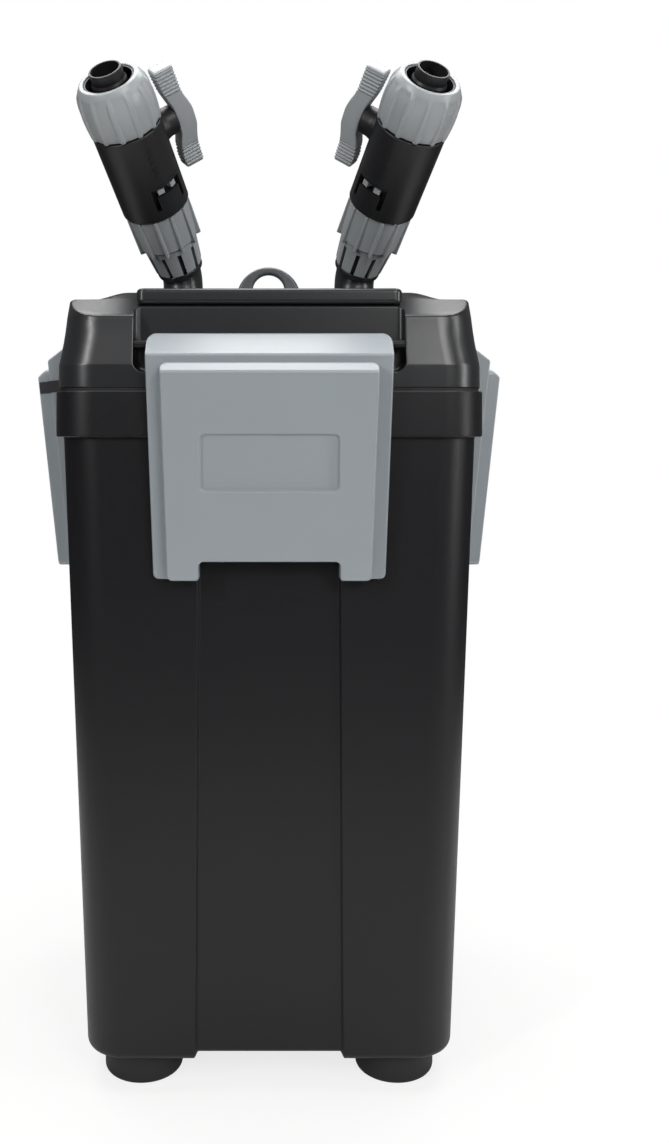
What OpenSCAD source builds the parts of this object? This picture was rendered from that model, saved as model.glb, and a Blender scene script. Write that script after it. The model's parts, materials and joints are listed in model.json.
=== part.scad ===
// Four-clip aquarium canister filter: square tub, pump head and two hose valves
// Millimetres, +Z up, origin on the floor under the middle of the tub

/* [Feet] */
// Diameter of each rubber foot
foot_d = 39; // [24:1:46]
// Height of each foot below the tub
foot_h = 16; // [8:1:24]
// Distance between the centres of two neighbouring feet
foot_spread = 126.4; // [110:0.2:130]

/* [Tub] */
// Outside width of the tub at its floor
tub_base_w = 180.8; // [178:0.1:183]
// How far the lid's skirt stands out past the tub's rim on each side
rim_in = 1.35; // [0.5:0.05:2]
// Height of the tub from its underside to its rim
tub_h = 324.3; // [310:0.1:360]
// Wall thickness of the tub
tub_wall = 4; // [3.5:0.25:5]
// Thickness of the tub's floor
tub_floor_t = 5; // [4.5:0.5:8]
// Radius of the tub's upright corners at the rim
tub_corner_r = 20; // [16:1:24]
// Width of the sunk panel on each side, at the rim
panel_w = 66; // [40:1:90]
// Extra width of the sunk panel at the floor
panel_flare = 5; // [0:0.5:10]
// Depth of the sunk panel
panel_depth = 2; // [0.5:0.25:2.5]
// How far the collar round the rim stands out past the lid's skirt on each side
collar_out = 1.2; // [0.7:0.05:1.6]
// Height of the collar
collar_h = 22; // [16:0.5:28]

/* [Lid] */
// Thickness of the gasket in the seam between tub and lid
gasket_t = 1.4; // [1:0.1:3]
// Width across the lid's skirt
lid_w = 205.7; // [204:0.1:207]
// Height of the lid from the gasket to its plateau
lid_h = 48.3; // [47:0.1:56]
// Height of the upright skirt
skirt_h = 9.3; // [8:0.1:12]
// Height of the front top edge of the corner towers
tower_edge_h = 34.8; // [30:0.1:36]
// How far the towers lean in at that edge
tower_lean = 3.5; // [1:0.1:5]
// Height of the shoulder outside the plateau
shoulder_h = 43.8; // [40:0.1:45]
// Width of the raised plateau
plateau_w = 144; // [136:1:150]
// Width of the curved flank on either side of the plateau
flank_w = 14; // [8:0.5:16]
// Wall thickness of the lid
lid_wall = 3; // [2.5:0.25:4]
// Width of the notch that each clip hangs in
notch_w = 129.4; // [126:0.2:132]
// Depth of a notch, from the face of the skirt to its back face
notch_depth = 11.35; // [10:0.05:12.5]
// Height of the notch's floor above the gasket
notch_floor_h = 7.6; // [6:0.1:9]
// Width of the bead across the plateau's front and rear edges
bead_w = 126; // [100:1:128]
// How far the bead stands out of the notch's back face
bead_out = 2; // [0.5:0.25:3]
// Height of the bead
bead_h = 7.7; // [4:0.1:8]

/* [Clips] */
// Width of a clip across its top
clip_w = 116.4; // [100:0.2:124]
// Width of a clip across its foot
clip_base_w = 110.2; // [100:0.2:116]
// Length of a clip from the back of its top to its foot
clip_h = 116.7; // [100:0.1:120]
// Height of the clip's top above the tub's rim
clip_rise = 27.4; // [26.5:0.1:28]
// How far a clip's slope reaches out past the lid's skirt
clip_out = 10.65; // [9:0.05:12]
// Drop of the sloped top
clip_slope_h = 10.7; // [8:0.1:12]
// Angle at which the clip's face leans in towards its foot
clip_lean = 6; // [4:0.25:6.25]
// Height of the raised plate above the clip's frame
plate_out = 7.2; // [4:0.1:8]
// Margin of the frame on either side of the raised plate
plate_margin = 7; // [5:0.25:10]
// Margin of the frame above the raised plate
plate_top_margin = 4; // [3:0.25:6]
// Length of the bare recess in the plate
recess_w = 65.3; // [40:0.1:80]
// Height of the bare recess in the plate
recess_h = 27.2; // [10:0.1:35]
// Depth of the bare recess in the plate
recess_depth = 0.8; // [0.4:0.1:1.2]
// Width of the finger notch in the clip's foot
finger_w = 66.3; // [40:0.1:80]
// Height of the finger notch
finger_h = 9; // [6:0.5:14]
// Wall thickness of a clip
clip_wall = 2.8; // [2:0.1:3.5]
// Diameter of a hinge pin
pin_d = 4; // [3:0.1:4.2]
// Distance of a hinge pin's middle in from the face of the skirt
pin_in = 4.35; // [4:0.05:4.9]
// Drop of the hinge pin below the clip's top
pin_drop = 5.2; // [5:0.1:5.5]
// How far a hinge pin goes into the lid at each end
pin_grip = 6; // [4:0.5:8]

/* [Valves] */
// Distance between the two elbows
port_spread = 96; // [92:1:104]
// Outside diameter of an elbow
elbow_d = 22; // [20:0.5:23]
// Bore of an elbow
elbow_bore = 16; // [12:0.5:17]
// Straight height of an elbow above the plateau
elbow_rise = 11; // [9:0.5:20]
// Radius of the elbow's bend on its centre line
bend_r = 16; // [14:0.5:24]
// Angle of the elbow's bend
bend_angle = 47; // [35:1:55]
// Angle at which each valve turns outwards
splay_angle = 19.6; // [0:0.2:35]
// Length of the elbow's tail past the bend
tail_l = 56; // [50:1:60]
// Length of the slotted fingers on a collet
finger_l = 20; // [12:0.5:22]
// Length of the finned part of a collet
fin_l = 20; // [14:0.5:26]
// Diameter of a collet over its fins
collet_d = 33.6; // [31:0.2:36]
// Diameter of a collet at its finger tips
collet_tip_d = 26.5; // [25.5:0.1:28]
// Number of fins on a collet
fin_count = 12; // [8:1:14]
// Diameter of a valve's body
valve_d = 34; // [33:0.5:36]
// Length of a valve's body from the collet to the hose nut
valve_l = 51; // [48:0.5:60]
// Diameter of the threaded neck inside the hose nut
neck_d = 28.4; // [27.6:0.1:29]
// Length of that neck
neck_l = 13; // [8:0.5:14]
// Diameter of the valve's ball
ball_d = 22; // [19:0.5:22]
// Bore of the ball and of the hose tail
way_d = 13; // [9:0.5:13.5]
// Diameter of the valve's stem
stem_d = 8; // [6:0.5:9]
// Length of the valve's handle
lever_l = 59; // [44:1:66]
// Width of the valve's handle
lever_w = 8.5; // [8:0.5:12]
// Depth of the handle's arms
lever_t = 10; // [7:0.5:12]
// How far the handle's middle bulges outwards
lever_bulge = 3.5; // [1:0.25:5]
// Angle at which the stem leans up from square to the valve
stem_turn = 45; // [0:1:60]
// Diameter of the hose nut over its ridges
nut_d = 36.8; // [36:0.2:39]
// Length of the hose nut
nut_l = 27; // [22:0.5:32]
// Diameter of the opening in the hose nut
nut_mouth_d = 26; // [24:0.5:27]
// Number of flutes round the hose nut
flute_count = 12; // [8:1:16]
// Outside diameter of the hose tail
hose_tail_d = 15.7; // [15.5:0.1:17]
// Diameter of the hose tail's barb
barb_d = 18.5; // [18:0.1:21]
// How far the hose tail stands out of the nut
tail_out = 5; // [2:0.5:12]

/* [Priming pump] */
// Outside radius of the pull ring
ring_r = 18; // [15:0.5:22]
// Radius of the pull ring's finger hole
ring_hole_r = 9; // [7:0.5:11]
// Height of the pull ring above the plateau
ring_h = 22.3; // [20:0.1:26]
// Thickness of the pull ring
ring_t = 8; // [5:0.5:12]
// Outside diameter of the priming cylinder
prime_d = 34; // [30:0.5:36]
// Diameter of the plunger's rod
rod_d = 10; // [7:0.5:12]
// Travel of the plunger
prime_travel = 26; // [15:1:28]

/* [Pump] */
// Gap between the priming cylinder and the motor block
motor_front_gap = 2; // [1:0.25:3]
// Diameter of the impeller
impeller_d = 36; // [28:0.5:40]
// Height of the impeller's blades
blade_h = 10; // [6:0.5:12]
// Number of blades
blade_count = 6; // [3:1:8]
// Diameter of the rotor magnet
magnet_d = 25; // [18:0.5:25.5]
// Length of the rotor magnet
magnet_l = 26; // [18:0.5:27]
// Diameter of the ceramic shaft
shaft_d = 5; // [3:0.25:6]
// Gap between the motor block and the lid's wall behind it
motor_back_gap = 4.5; // [4:0.25:8]

/* [Media] */
// Clearance between a basket and the tub's wall at its floor
basket_clear = 3.57; // [3:0.01:8]
// Height of a basket
basket_h = 88; // [70:0.5:90]
// Wall thickness of a basket
basket_wall = 2; // [1.5:0.25:3]
// Outside diameter of the riser pipe
riser_d = 20; // [18:0.5:22]
// Wall thickness of the riser pipe
riser_wall = 2; // [1.5:0.25:3]

/* [Fits] */
// Radial clearance of a shaft that turns or slides in its hole
running_gap = 0.05; // [0.02:0.01:0.1]
// Gap beside moving pieces that don't bear on each other
free_gap = 0.3; // [0.2:0.05:0.5]

/* [Hidden] */
$fn = 64;
eps = 0.01;                                 // overlap that keeps cuts and joins clean
satin_black = "#2b2c2f";
body_black = "#1f2023";
inner_black = "#3c3e42";
rubber_black = "#17181a";
clip_grey = "#8b9194";
steel = "#b9bcc0";
LEFT = -1;
RIGHT = 1;

// Heights of the tub, the seam and the lid
tub_z = foot_h;
rim_z = tub_z + tub_h;
collar_z = rim_z - collar_h;
cavity_z = tub_z + tub_floor_t;
lid_z = rim_z + gasket_t;
plateau_z = lid_z + lid_h;
notch_z = lid_z + notch_floor_h;
bead_z = plateau_z - bead_h;
panel_tuck = 0.2;                           // how far the sunk panels run in under the collar
stub_d = 10;
stub_h = 2;
foot_edge_r = 3;
tub_top_w = lid_w - 2 * rim_in;
collar_w = lid_w + 2 * collar_out;
notch_back = lid_w / 2 - notch_depth;
pin_reach = lid_w / 2 - pin_in;
clip_reach = lid_w / 2 + clip_out;
tub_edge_slope = (tub_top_w - tub_base_w) / 2 / tub_h;
function tub_half(z) = tub_base_w / 2 + tub_edge_slope * (z - tub_z);

// Lid's outline: shoulder at the sides, slopes at the front and rear
shoulder_in = 2.9;
slope_run = 15;
crown_run = 11;
notch_r = 5;
bead_r = 3;

// Head: plate inside the skirt, bay under the towers, loft under the plateau
plate_t = 3.5;
plate_z = lid_z + plate_t;
plug_h = 10;
plug_wall = 2.5;
roof_t = 3.5;
roof_z = plateau_z - roof_t;
plate_half = lid_w / 2 - lid_wall - free_gap;
bay_half = notch_back - lid_wall;
bay_z = lid_z + 30;                         // where the bay narrows under the sloping towers
loft_half = bead_w / 2 - lid_wall;
loft_depth = notch_back - lid_wall - 3;
port_x = port_spread / 2;
port_bore = elbow_d + 2 * running_gap;
port_wall = 4;
socket_h = 21;
port_boss_h = 2;
screw_at = bay_half - 4.5 + lid_wall;
screw_d = 3.5;
screw_l = 16;
screw_head_d = 7;
screw_head_h = 2.2;
gland_in = 3.775;                           // from the middle of the tower towards the notch
gland_x = (lid_w + notch_w) / 4 - gland_in;
gland_z = notch_z + 13;
gland_seat = lid_w / 2 + 0.4;
gland_boss_d = 18;
gland_nut_d = 16;
gland_neck_d = 10;
gland_bore = 7;
gland_nut_l = 4;
gland_tail_l = 7;

// Pump: chamber under the plate, rotor can through the motor
chamber_h = 20;
chamber_wall = 2.5;
chamber_d = impeller_d + 8;
chamber_z = lid_z - chamber_h;
cover_t = 3;
can_wall = 1.5;
can_d = magnet_d + 2 * 0.8 + 2 * can_wall;
disc_t = 3;
disc_z = lid_z - 6.7;
magnet_z = disc_z + disc_t;
bush_t = 3.5;
bush_d = 12;
can_top_z = magnet_z + magnet_l + 1 + bush_t;
lower_bush_z = chamber_z - cover_t;
lower_bush_h = 5;
hub_d = 14;
blade_t = 1.6;
motor_top_z = roof_z - 2.5;
motor_front_y = prime_d / 2 + motor_front_gap;
motor_back_y = loft_depth - motor_back_gap;
motor_d = motor_back_y - motor_front_y;
pump_y = (motor_front_y + motor_back_y) / 2;
duct_d = 16;
duct_bore = 11;
duct_z = chamber_z + 9;
duct_run = sqrt(port_x * port_x + pump_y * pump_y);
duct_turn = atan2(-pump_y, port_x);

// Priming pump: cylinder on the plate, plunger through the plateau
prime_wall = 3;
prime_bore = prime_d - 2 * prime_wall;
piston_t = 6;
piston_z = plate_z + 1;
prime_top_z = piston_z + piston_t + prime_travel + 1;
seal_groove = 2.4;
cap_d = 42;
cap_t = 2;
cap_z = plateau_z + free_gap;
ring_top_wall = 3.9;
ring_z = plateau_z + ring_h - ring_r;
ring_hole_z = plateau_z + ring_h - ring_top_wall - ring_hole_r;
flap_d = 14;
flap_t = 1.5;
flap_port_d = 8;

// Media stack on the floor ribs, round the riser pipe
basket_count = 3;
basket_w = 2 * (tub_half(cavity_z) - tub_wall - basket_clear);
rib_h = 5;
rib_t = 3;
rib_at = basket_w / 2 - 38;
stack_z = cavity_z + rib_h;
basket_floor_t = 3;
basket_r = 12;
cell = 18;
cell_wall = 4;
sleeve_bore = riser_d + 4;
sleeve_wall = 2;
pad_h = basket_h - basket_floor_t - 12;
cover_plate_t = 3;
riser_bottom_z = cavity_z + 8;
riser_socket_h = 15;
riser_top_z = lid_z - 2;

// Clips
clip_top_z = rim_z + clip_rise;
clip_foot_z = clip_top_z - clip_h;
pin_z = clip_top_z - pin_drop;
pin_l = notch_w + 2 * pin_grip;
barrel_r = 3.9;
clip_back = pin_reach + 0.1;
slope_z = clip_top_z - clip_slope_h;
plate_top_z = slope_z - plate_top_margin;
plate_step = 2.4;                           // upright edge of the plate above its frame
plate_bevel = 4.2;                          // height of the bevel over that edge
clip_corner_r = 5;
hook_drop = 0.7;                            // gap under the collar where the clip hooks it
hook_fall = 0.4;                            // extra fall of the hook towards the tub
clip_clear = 0.4;
collar_face = collar_w / 2 + clip_clear + 0.05;
function face_reach(z) = clip_reach - tan(clip_lean) * (slope_z - z);
function plate_reach(z) = face_reach(z) + plate_out;
function clip_half(z) = (clip_base_w + (clip_w - clip_base_w) * (z - clip_foot_z) / clip_h) / 2;
recess_rise = 55.5;                         // from the foot of the clip to the middle of its recess
recess_z = clip_foot_z + recess_rise;
label_t = 0.5;
label_inset = 0.6;
label_back = 7;
label_h = 5.8;
label_z = rim_z + 3.5;

// Valves, measured along the tail from the end of the bend
bend_z = plateau_z + elbow_rise;
tail_step = 0.1;                            // step where the straight tail leaves the bend
tail_overlap = 0.5;
tail_bore = elbow_d + 2 * (tail_step + running_gap);
body_at = finger_l + fin_l;
nut_at = body_at + valve_l;
stem_at = nut_at - 9;
neck_top = nut_at + neck_l;
nut_top = nut_at + nut_l;
tail_top = nut_top + tail_out;
chamber_r = ball_d / 2 + free_gap;
tail_base_d = 2 * chamber_r - 2 * running_gap;
tail_base_at = stem_at + ball_d / 2 + free_gap;
flange_t = 2.5;
barb_l = 9;
barb_crest = 3;
boss_d = 13;
lever_r = valve_d / 2 + 5.2;                // inside of the handle's arms, clear of the hose nut
mid_slim = 0.35;                            // share of the bulge by which the middle is slimmer
hub_r = lever_r + lever_bulge;              // inside of the handle's middle, where it meets the boss
boss_r = hub_r - free_gap;
stem_end = hub_r + 5;
elbow_foot_z = plate_z + 1.8;
seal_z = elbow_foot_z + 9;
ring_groove_z = roof_z - 3;
groove_depth = 0.5;
elbow_ring_d = elbow_d + 6;
collet_gap = 0.1;
fin_root_d = collet_d - 2.4;
fin_t = 1.6;
slot_w = 2.2;
slot_count = 10;
rib_count = 5;
rib_pitch = 2.4;
rib_gap = 1;
rib_depth = 0.6;
flute_d = 2.6;
nut_rim_r = 15.2;
window_angle = 75;
window_turn = 70;                           // from the valve's lower side towards its lever
window_low = 4;
window_l = 9;
window_slot = 3;
window_leg = 2;
window_depth = 1.2;

module rounded(w, d, r) {
    square([w - 2 * r, d], center = true);
    square([w, d - 2 * r], center = true);
    for (x = [-1, 1], y = [-1, 1])
        translate([x * (w / 2 - r), y * (d / 2 - r)])
            circle(r);
}

module ring(od, id, h) {
    difference() {
        cylinder(d = od, h = h);
        translate([0, 0, -eps])
            cylinder(d = id, h = h + 2 * eps);
    }
}

// Extrudes a profile of reach (X) and height (Y) across the width w
module across(w) {
    rotate([90, 0, 0])
        linear_extrude(height = w, center = true)
            children();
}

// Extrudes an outline of width (X) and height (Y) outwards from reach 0
module outwards(reach) {
    rotate([90, 0, 90])
        linear_extrude(height = reach)
            children();
}

// Places its children in one of the four side directions
module on_side(turn) {
    rotate([0, 0, turn])
        children();
}

// ---- Tub ----

// Outline of a square with round corners, as one ring of points
function soft_square(w, r) =
    let (c = w / 2 - r)
        concat(
            corner(c, c, r, 0, 90, 12), corner(-c, c, r, 90, 180, 12),
            corner(-c, -c, r, 180, 270, 12), corner(c, -c, r, 270, 360, 12)
        );

module tub_form(w0, w1, r, h) {
    linear_extrude(height = h, scale = w1 / w0)
        polygon(soft_square(w0, r * w0 / w1));
}

// Slab that sinks one side's panel, parallel to the drafted wall
module side_panel() {
    panel_h = collar_z - tub_z + panel_tuck;
    panel_base_w = panel_w + panel_flare;
    draft = atan(tub_edge_slope);
    translate([tub_base_w / 2 - panel_depth, 0, tub_z])
        rotate([90, 0, 90])
            rotate([draft, 0, 0])
                linear_extrude(height = 10)
                    polygon([
                        [-panel_base_w / 2, -1], [panel_base_w / 2, -1],
                        [panel_w / 2, panel_h], [-panel_w / 2, panel_h]
                    ]);
}

module tub() {
    cavity_base = 2 * (tub_half(cavity_z) - tub_wall);
    cavity_top = 2 * (tub_half(rim_z) - tub_wall);
    color(body_black)
    difference() {
        union() {
            difference() {
                translate([0, 0, tub_z])
                    tub_form(tub_base_w, tub_top_w, tub_corner_r, tub_h);
                for (turn = [0, 90, 180, 270])
                    on_side(turn) side_panel();
            }
            translate([0, 0, collar_z])
                linear_extrude(height = collar_h)
                    rounded(collar_w, collar_w, tub_corner_r + 1);
        }
        difference() {
            translate([0, 0, cavity_z])
                tub_form(cavity_base, cavity_top + 0.02, tub_corner_r - tub_wall,
                    tub_h - tub_floor_t + eps);
            for (turn = [0, 90, 180, 270])
                on_side(turn)
                    translate([0, rib_at, cavity_z + rib_h / 2 - eps])
                        cube([2 * tub_half(cavity_z), rib_t, rib_h + 2 * eps], center = true);
        }
        for (x = [-1, 1], y = [-1, 1])
            translate([x * foot_spread / 2, y * foot_spread / 2, tub_z - eps])
                cylinder(d = stub_d + 0.4, h = stub_h + 0.5);
    }
}

module foot(x, y) {
    color(rubber_black)
    translate([x * foot_spread / 2, y * foot_spread / 2, 0])
        rotate_extrude()
            polygon(concat(
                [[0, 0]],
                corner(foot_d / 2 - foot_edge_r, foot_edge_r, foot_edge_r, 270, 360),
                [
                    [foot_d / 2, foot_h], [stub_d / 2, foot_h],
                    [stub_d / 2, foot_h + stub_h], [0, foot_h + stub_h]
                ]
            ));
}

// ---- Lid ----

function s_curve(x0, z0, x1, z1, n = 12) =
    [for (i = [0 : n]) let (t = i / n) [x0 + (x1 - x0) * t, z0 + (z1 - z0) * t * t * (3 - 2 * t)]];

// Half profile seen from the front: skirt, leaning tower, shoulder, flank and plateau
module front_profile() {
    h = lid_w / 2;
    for (side = [0, 1])
        mirror([side, 0])
            polygon(concat(
                [
                    [-1, 0], [h, 0], [h, skirt_h], [h - tower_lean, tower_edge_h],
                    [h - tower_lean - shoulder_in, shoulder_h]
                ],
                s_curve(plateau_w / 2 + flank_w, shoulder_h, plateau_w / 2, lid_h),
                [[-1, lid_h]]
            ));
}

// Half profile seen from the side: the towers' tops slope up to the plateau
module side_profile() {
    h = lid_w / 2;
    for (side = [0, 1])
        mirror([side, 0])
            polygon([
                [-1, 0], [h, 0], [h, skirt_h], [h - tower_lean, tower_edge_h],
                [h - tower_lean - slope_run, shoulder_h],
                [h - tower_lean - slope_run - crown_run, lid_h], [-1, lid_h]
            ]);
}

module lid_form() {
    translate([0, 0, lid_z])
        intersection() {
            linear_extrude(height = lid_h)
                rounded(lid_w, lid_w, tub_corner_r);
            across(lid_w + 2) front_profile();
            rotate([0, 0, 90]) across(lid_w + 2) side_profile();
        }
}

// Notch that a clip hangs in, open upwards and outwards
module clip_notch() {
    translate([notch_back, 0, 0])
        outwards(30)
            union() {
                translate([-notch_w / 2, notch_z + notch_r])
                    square([notch_w, lid_h]);
                translate([-notch_w / 2 + notch_r, notch_z])
                    square([notch_w - 2 * notch_r, lid_h]);
                for (x = [-1, 1])
                    translate([x * (notch_w / 2 - notch_r), notch_z + notch_r])
                        circle(notch_r);
            }
}

module head_bay() {
    translate([0, 0, lid_z - eps])
        linear_extrude(height = plate_t + 2 * eps)
            rounded(2 * (lid_w / 2 - lid_wall), 2 * (lid_w / 2 - lid_wall), tub_corner_r - lid_wall);
    translate([0, 0, lid_z])
        linear_extrude(height = bay_z - lid_z)
            rounded(2 * bay_half, 2 * bay_half, 8);
    translate([0, 0, bay_z - eps])
        linear_extrude(height = roof_z - bay_z + eps)
            rounded(2 * loft_half, 2 * loft_depth, 6);
    for (x = [-1, 1])
        translate([x * port_x, 0, bay_z - eps])
            cylinder(d = elbow_ring_d + 2, h = roof_z - bay_z + eps);
}

module lid() {
    color(satin_black)
    difference() {
        union() {
            difference() {
                lid_form();
                for (turn = [0, 90, 180, 270])
                    on_side(turn) clip_notch();
            }
            translate([0, 0, bead_z])
                linear_extrude(height = bead_h)
                    rounded(bead_w, 2 * (notch_back + bead_out), bead_r);
            for (x = [-1, 1])
                translate([x * port_x, 0, plateau_z - eps])
                    cylinder(d = port_bore + 2 * port_wall, h = port_boss_h + eps);
            translate([gland_x, notch_back, gland_z])
                rotate([-90, 0, 0])
                    cylinder(d = gland_boss_d, h = gland_seat - notch_back);
        }
        head_bay();
        for (x = [-1, 1])
            translate([x * port_x, 0, roof_z - eps])
                cylinder(d = port_bore, h = roof_t + port_boss_h + 3 * eps);
        translate([0, 0, roof_z - eps])
            cylinder(d = rod_d + 2 * running_gap, h = roof_t + 2 * eps);
        for (turn = [0, 90, 180, 270])
            on_side(turn)
                hinge_pin_form(pin_d / 2 + running_gap, pin_l + 0.2);
        for (x = [-1, 1], y = [-1, 1])
            translate([x * screw_at, y * screw_at, plate_z - eps])
                cylinder(d = screw_d + 2 * running_gap, h = screw_l - plate_t + 0.5);
        translate([gland_x, bay_half - 1, gland_z])
            rotate([-90, 0, 0])
                cylinder(d = gland_neck_d + 2 * running_gap, h = 30);
    }
}

module lid_gasket() {
    inner = 2 * (tub_half(rim_z) - tub_wall + 0.6);
    outer = lid_w - 0.8;
    color(rubber_black)
    translate([0, 0, rim_z])
        difference() {
            linear_extrude(height = gasket_t)
                rounded(outer, outer, tub_corner_r);
            translate([0, 0, -eps])
                linear_extrude(height = gasket_t + 2 * eps)
                    rounded(inner, inner, tub_corner_r - 3);
        }
}

module head_base() {
    plug_half = tub_half(lid_z - plug_h) - tub_wall - 0.6;
    color(inner_black)
    difference() {
        union() {
            translate([0, 0, lid_z])
                linear_extrude(height = plate_t)
                    rounded(2 * plate_half, 2 * plate_half, tub_corner_r - lid_wall - free_gap);
            translate([0, 0, lid_z - plug_h])
                difference() {
                    linear_extrude(height = plug_h + eps)
                        rounded(2 * plug_half, 2 * plug_half, 14);
                    translate([0, 0, -eps])
                        linear_extrude(height = plug_h + 3 * eps)
                            rounded(2 * (plug_half - plug_wall), 2 * (plug_half - plug_wall), 11);
                }
            for (x = [-1, 1])
                translate([x * port_x, 0, plate_z - eps])
                    cylinder(d = port_bore + 2 * port_wall, h = socket_h);
            translate([-port_x, 0, lid_z - riser_socket_h])
                cylinder(d = riser_d + 2 * port_wall, h = riser_socket_h + eps);
            translate([port_x, 0, lid_z - riser_socket_h])
                cylinder(d = elbow_bore + 2 * port_wall, h = riser_socket_h + eps);
            translate([0, pump_y, chamber_z])
                cylinder(d = chamber_d + 2 * chamber_wall, h = chamber_h + eps);
            translate([0, pump_y, plate_z - eps])
                cylinder(d = can_d, h = can_top_z - plate_z + 2);
            translate([0, pump_y, duct_z])
                rotate([0, 0, duct_turn])
                    rotate([0, 90, 0])
                        cylinder(d = duct_d, h = duct_run);
        }
        for (x = [-1, 1])
            translate([x * port_x, 0, plate_z])
                cylinder(d = port_bore, h = socket_h + eps);
        translate([port_x, 0, lid_z - riser_socket_h + 3])
            cylinder(d = elbow_bore, h = riser_socket_h + plate_t);
        translate([-port_x, 0, lid_z - riser_socket_h - eps])
            cylinder(d = riser_d + 2 * running_gap, h = riser_socket_h - 2 + eps);
        translate([-port_x, 0, lid_z - riser_socket_h])
            cylinder(d = elbow_bore, h = riser_socket_h + plate_t + eps);
        translate([-port_x, 0, riser_top_z - 8])
            cylinder(d = riser_d + 3.2, h = 2.6);
        translate([0, pump_y, chamber_z - eps])
            cylinder(d = chamber_d, h = chamber_h - 2);
        translate([0, pump_y, chamber_z])
            cylinder(d = can_d - 2 * can_wall, h = can_top_z - chamber_z - bush_t);
        translate([0, pump_y, can_top_z - bush_t - eps])
            cylinder(d = bush_d + 2 * running_gap, h = bush_t + eps);
        translate([0, pump_y, duct_z])
            rotate([0, 0, duct_turn])
                rotate([0, 90, 0])
                    cylinder(d = duct_bore, h = duct_run);
        translate([0, 0, lid_z - eps])
            cylinder(d = flap_port_d, h = plate_t + 2 * eps);
        for (x = [-1, 1], y = [-1, 1])
            translate([x * screw_at, y * screw_at, lid_z - eps])
                cylinder(d = screw_d + 0.4, h = plate_t + 2 * eps);
    }
}

module head_screws() {
    color(steel)
    for (x = [-1, 1], y = [-1, 1])
        translate([x * screw_at, y * screw_at, lid_z]) {
            translate([0, 0, -eps])
                cylinder(d = screw_d, h = screw_l + eps);
            difference() {
                translate([0, 0, -screw_head_h])
                    cylinder(d = screw_head_d, h = screw_head_h);
                for (turn = [0, 90])
                    rotate([0, 0, turn])
                        translate([0, 0, -screw_head_h])
                            cube([4, 0.9, 2.2], center = true);
            }
        }
}

module cable_gland() {
    neck_l = gland_seat - bay_half;
    color(rubber_black)
    translate([gland_x, gland_seat, gland_z])
        rotate([-90, 0, 0])
            difference() {
                union() {
                    translate([0, 0, -neck_l])
                        cylinder(d = gland_neck_d, h = neck_l + eps);
                    cylinder(d = gland_nut_d, h = gland_nut_l, $fn = 6);
                    translate([0, 0, gland_nut_l - eps])
                        cylinder(d1 = 12, d2 = 10, h = gland_tail_l);
                }
                translate([0, 0, -neck_l - eps])
                    cylinder(d = gland_bore, h = neck_l + gland_nut_l + gland_tail_l + 3 * eps);
            }
}

// ---- Pump ----

module motor_block() {
    color("#26272b")
    translate([0, pump_y, plate_z])
        difference() {
            cylinder(d = motor_d, h = motor_top_z - plate_z);
            translate([0, 0, -eps])
                cylinder(d = can_d + 2 * free_gap, h = can_top_z - plate_z + 2.5);
        }
}

module rotor_magnet() {
    color("#4a4b50")
    translate([0, pump_y, magnet_z])
        ring(magnet_d, shaft_d + 2 * running_gap, magnet_l);
}

module impeller() {
    color("#d8d9d4")
    translate([0, pump_y, 0])
        difference() {
            union() {
                translate([0, 0, disc_z])
                    cylinder(d = impeller_d, h = disc_t);
                translate([0, 0, disc_z - blade_h])
                    cylinder(d = hub_d, h = blade_h + eps);
                for (i = [0 : blade_count - 1])
                    rotate([0, 0, i * 360 / blade_count])
                        translate([hub_d / 2 - 1, -blade_t / 2, disc_z - blade_h])
                            cube([impeller_d / 2 - hub_d / 2, blade_t, blade_h + eps]);
            }
            translate([0, 0, disc_z - blade_h - eps])
                cylinder(d = shaft_d + 2 * running_gap, h = blade_h + disc_t + 2 * eps);
        }
}

module impeller_shaft() {
    color("#e8e6df")
    translate([0, pump_y, lower_bush_z])
        cylinder(d = shaft_d, h = can_top_z - lower_bush_z);
}

module shaft_bush(z, h) {
    color(rubber_black)
    translate([0, pump_y, z])
        ring(bush_d, shaft_d, h);
}

module pump_cover() {
    eye_d = impeller_d - 10;
    color(inner_black)
    translate([0, pump_y, chamber_z - cover_t])
        difference() {
            union() {
                ring(chamber_d + 2 * chamber_wall, eye_d, cover_t);
                cylinder(d = bush_d + 4, h = cover_t);
                for (turn = [0, 60, 120])
                    rotate([0, 0, turn])
                        translate([0, 0, cover_t / 2])
                            cube([eye_d + 1, 2.5, cover_t], center = true);
            }
            translate([0, 0, -eps])
                cylinder(d = bush_d + 2 * running_gap, h = cover_t + 2 * eps);
        }
}

// ---- Priming pump ----

module priming_cylinder() {
    color(inner_black)
    translate([0, 0, plate_z])
        ring(prime_d, prime_bore, prime_top_z - plate_z);
}

// Pull ring with its finger hole set high, standing on a flat cap
module pull_ring() {
    rotate([90, 0, 0])
        linear_extrude(height = ring_t, center = true)
            difference() {
                intersection() {
                    translate([0, ring_z])
                        circle(ring_r);
                    translate([-ring_r, cap_z])
                        square([2 * ring_r, 2 * ring_r]);
                }
                translate([0, ring_hole_z])
                    circle(ring_hole_r);
            }
}

module priming_plunger() {
    color("#4d4f52")
    difference() {
        union() {
            pull_ring();
            translate([0, 0, cap_z])
                cylinder(d = cap_d, h = cap_t);
            translate([0, 0, piston_z])
                cylinder(d = rod_d, h = cap_z - piston_z + eps);
            translate([0, 0, piston_z])
                cylinder(d = prime_bore - 2 * free_gap, h = piston_t);
        }
        translate([0, 0, piston_z + (piston_t - seal_groove) / 2])
            ring(prime_bore + 2, prime_bore - 4, seal_groove);
    }
}

module plunger_seal() {
    color(rubber_black)
    translate([0, 0, piston_z + (piston_t - seal_groove) / 2 + 0.1])
        ring(prime_bore - 2 * running_gap, prime_bore - 4 + 2 * running_gap, seal_groove - 0.2);
}

module priming_flap() {
    color(rubber_black)
    translate([0, 0, lid_z - flap_t])
        cylinder(d = flap_d, h = flap_t);
}

// ---- Media stack ----

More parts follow.
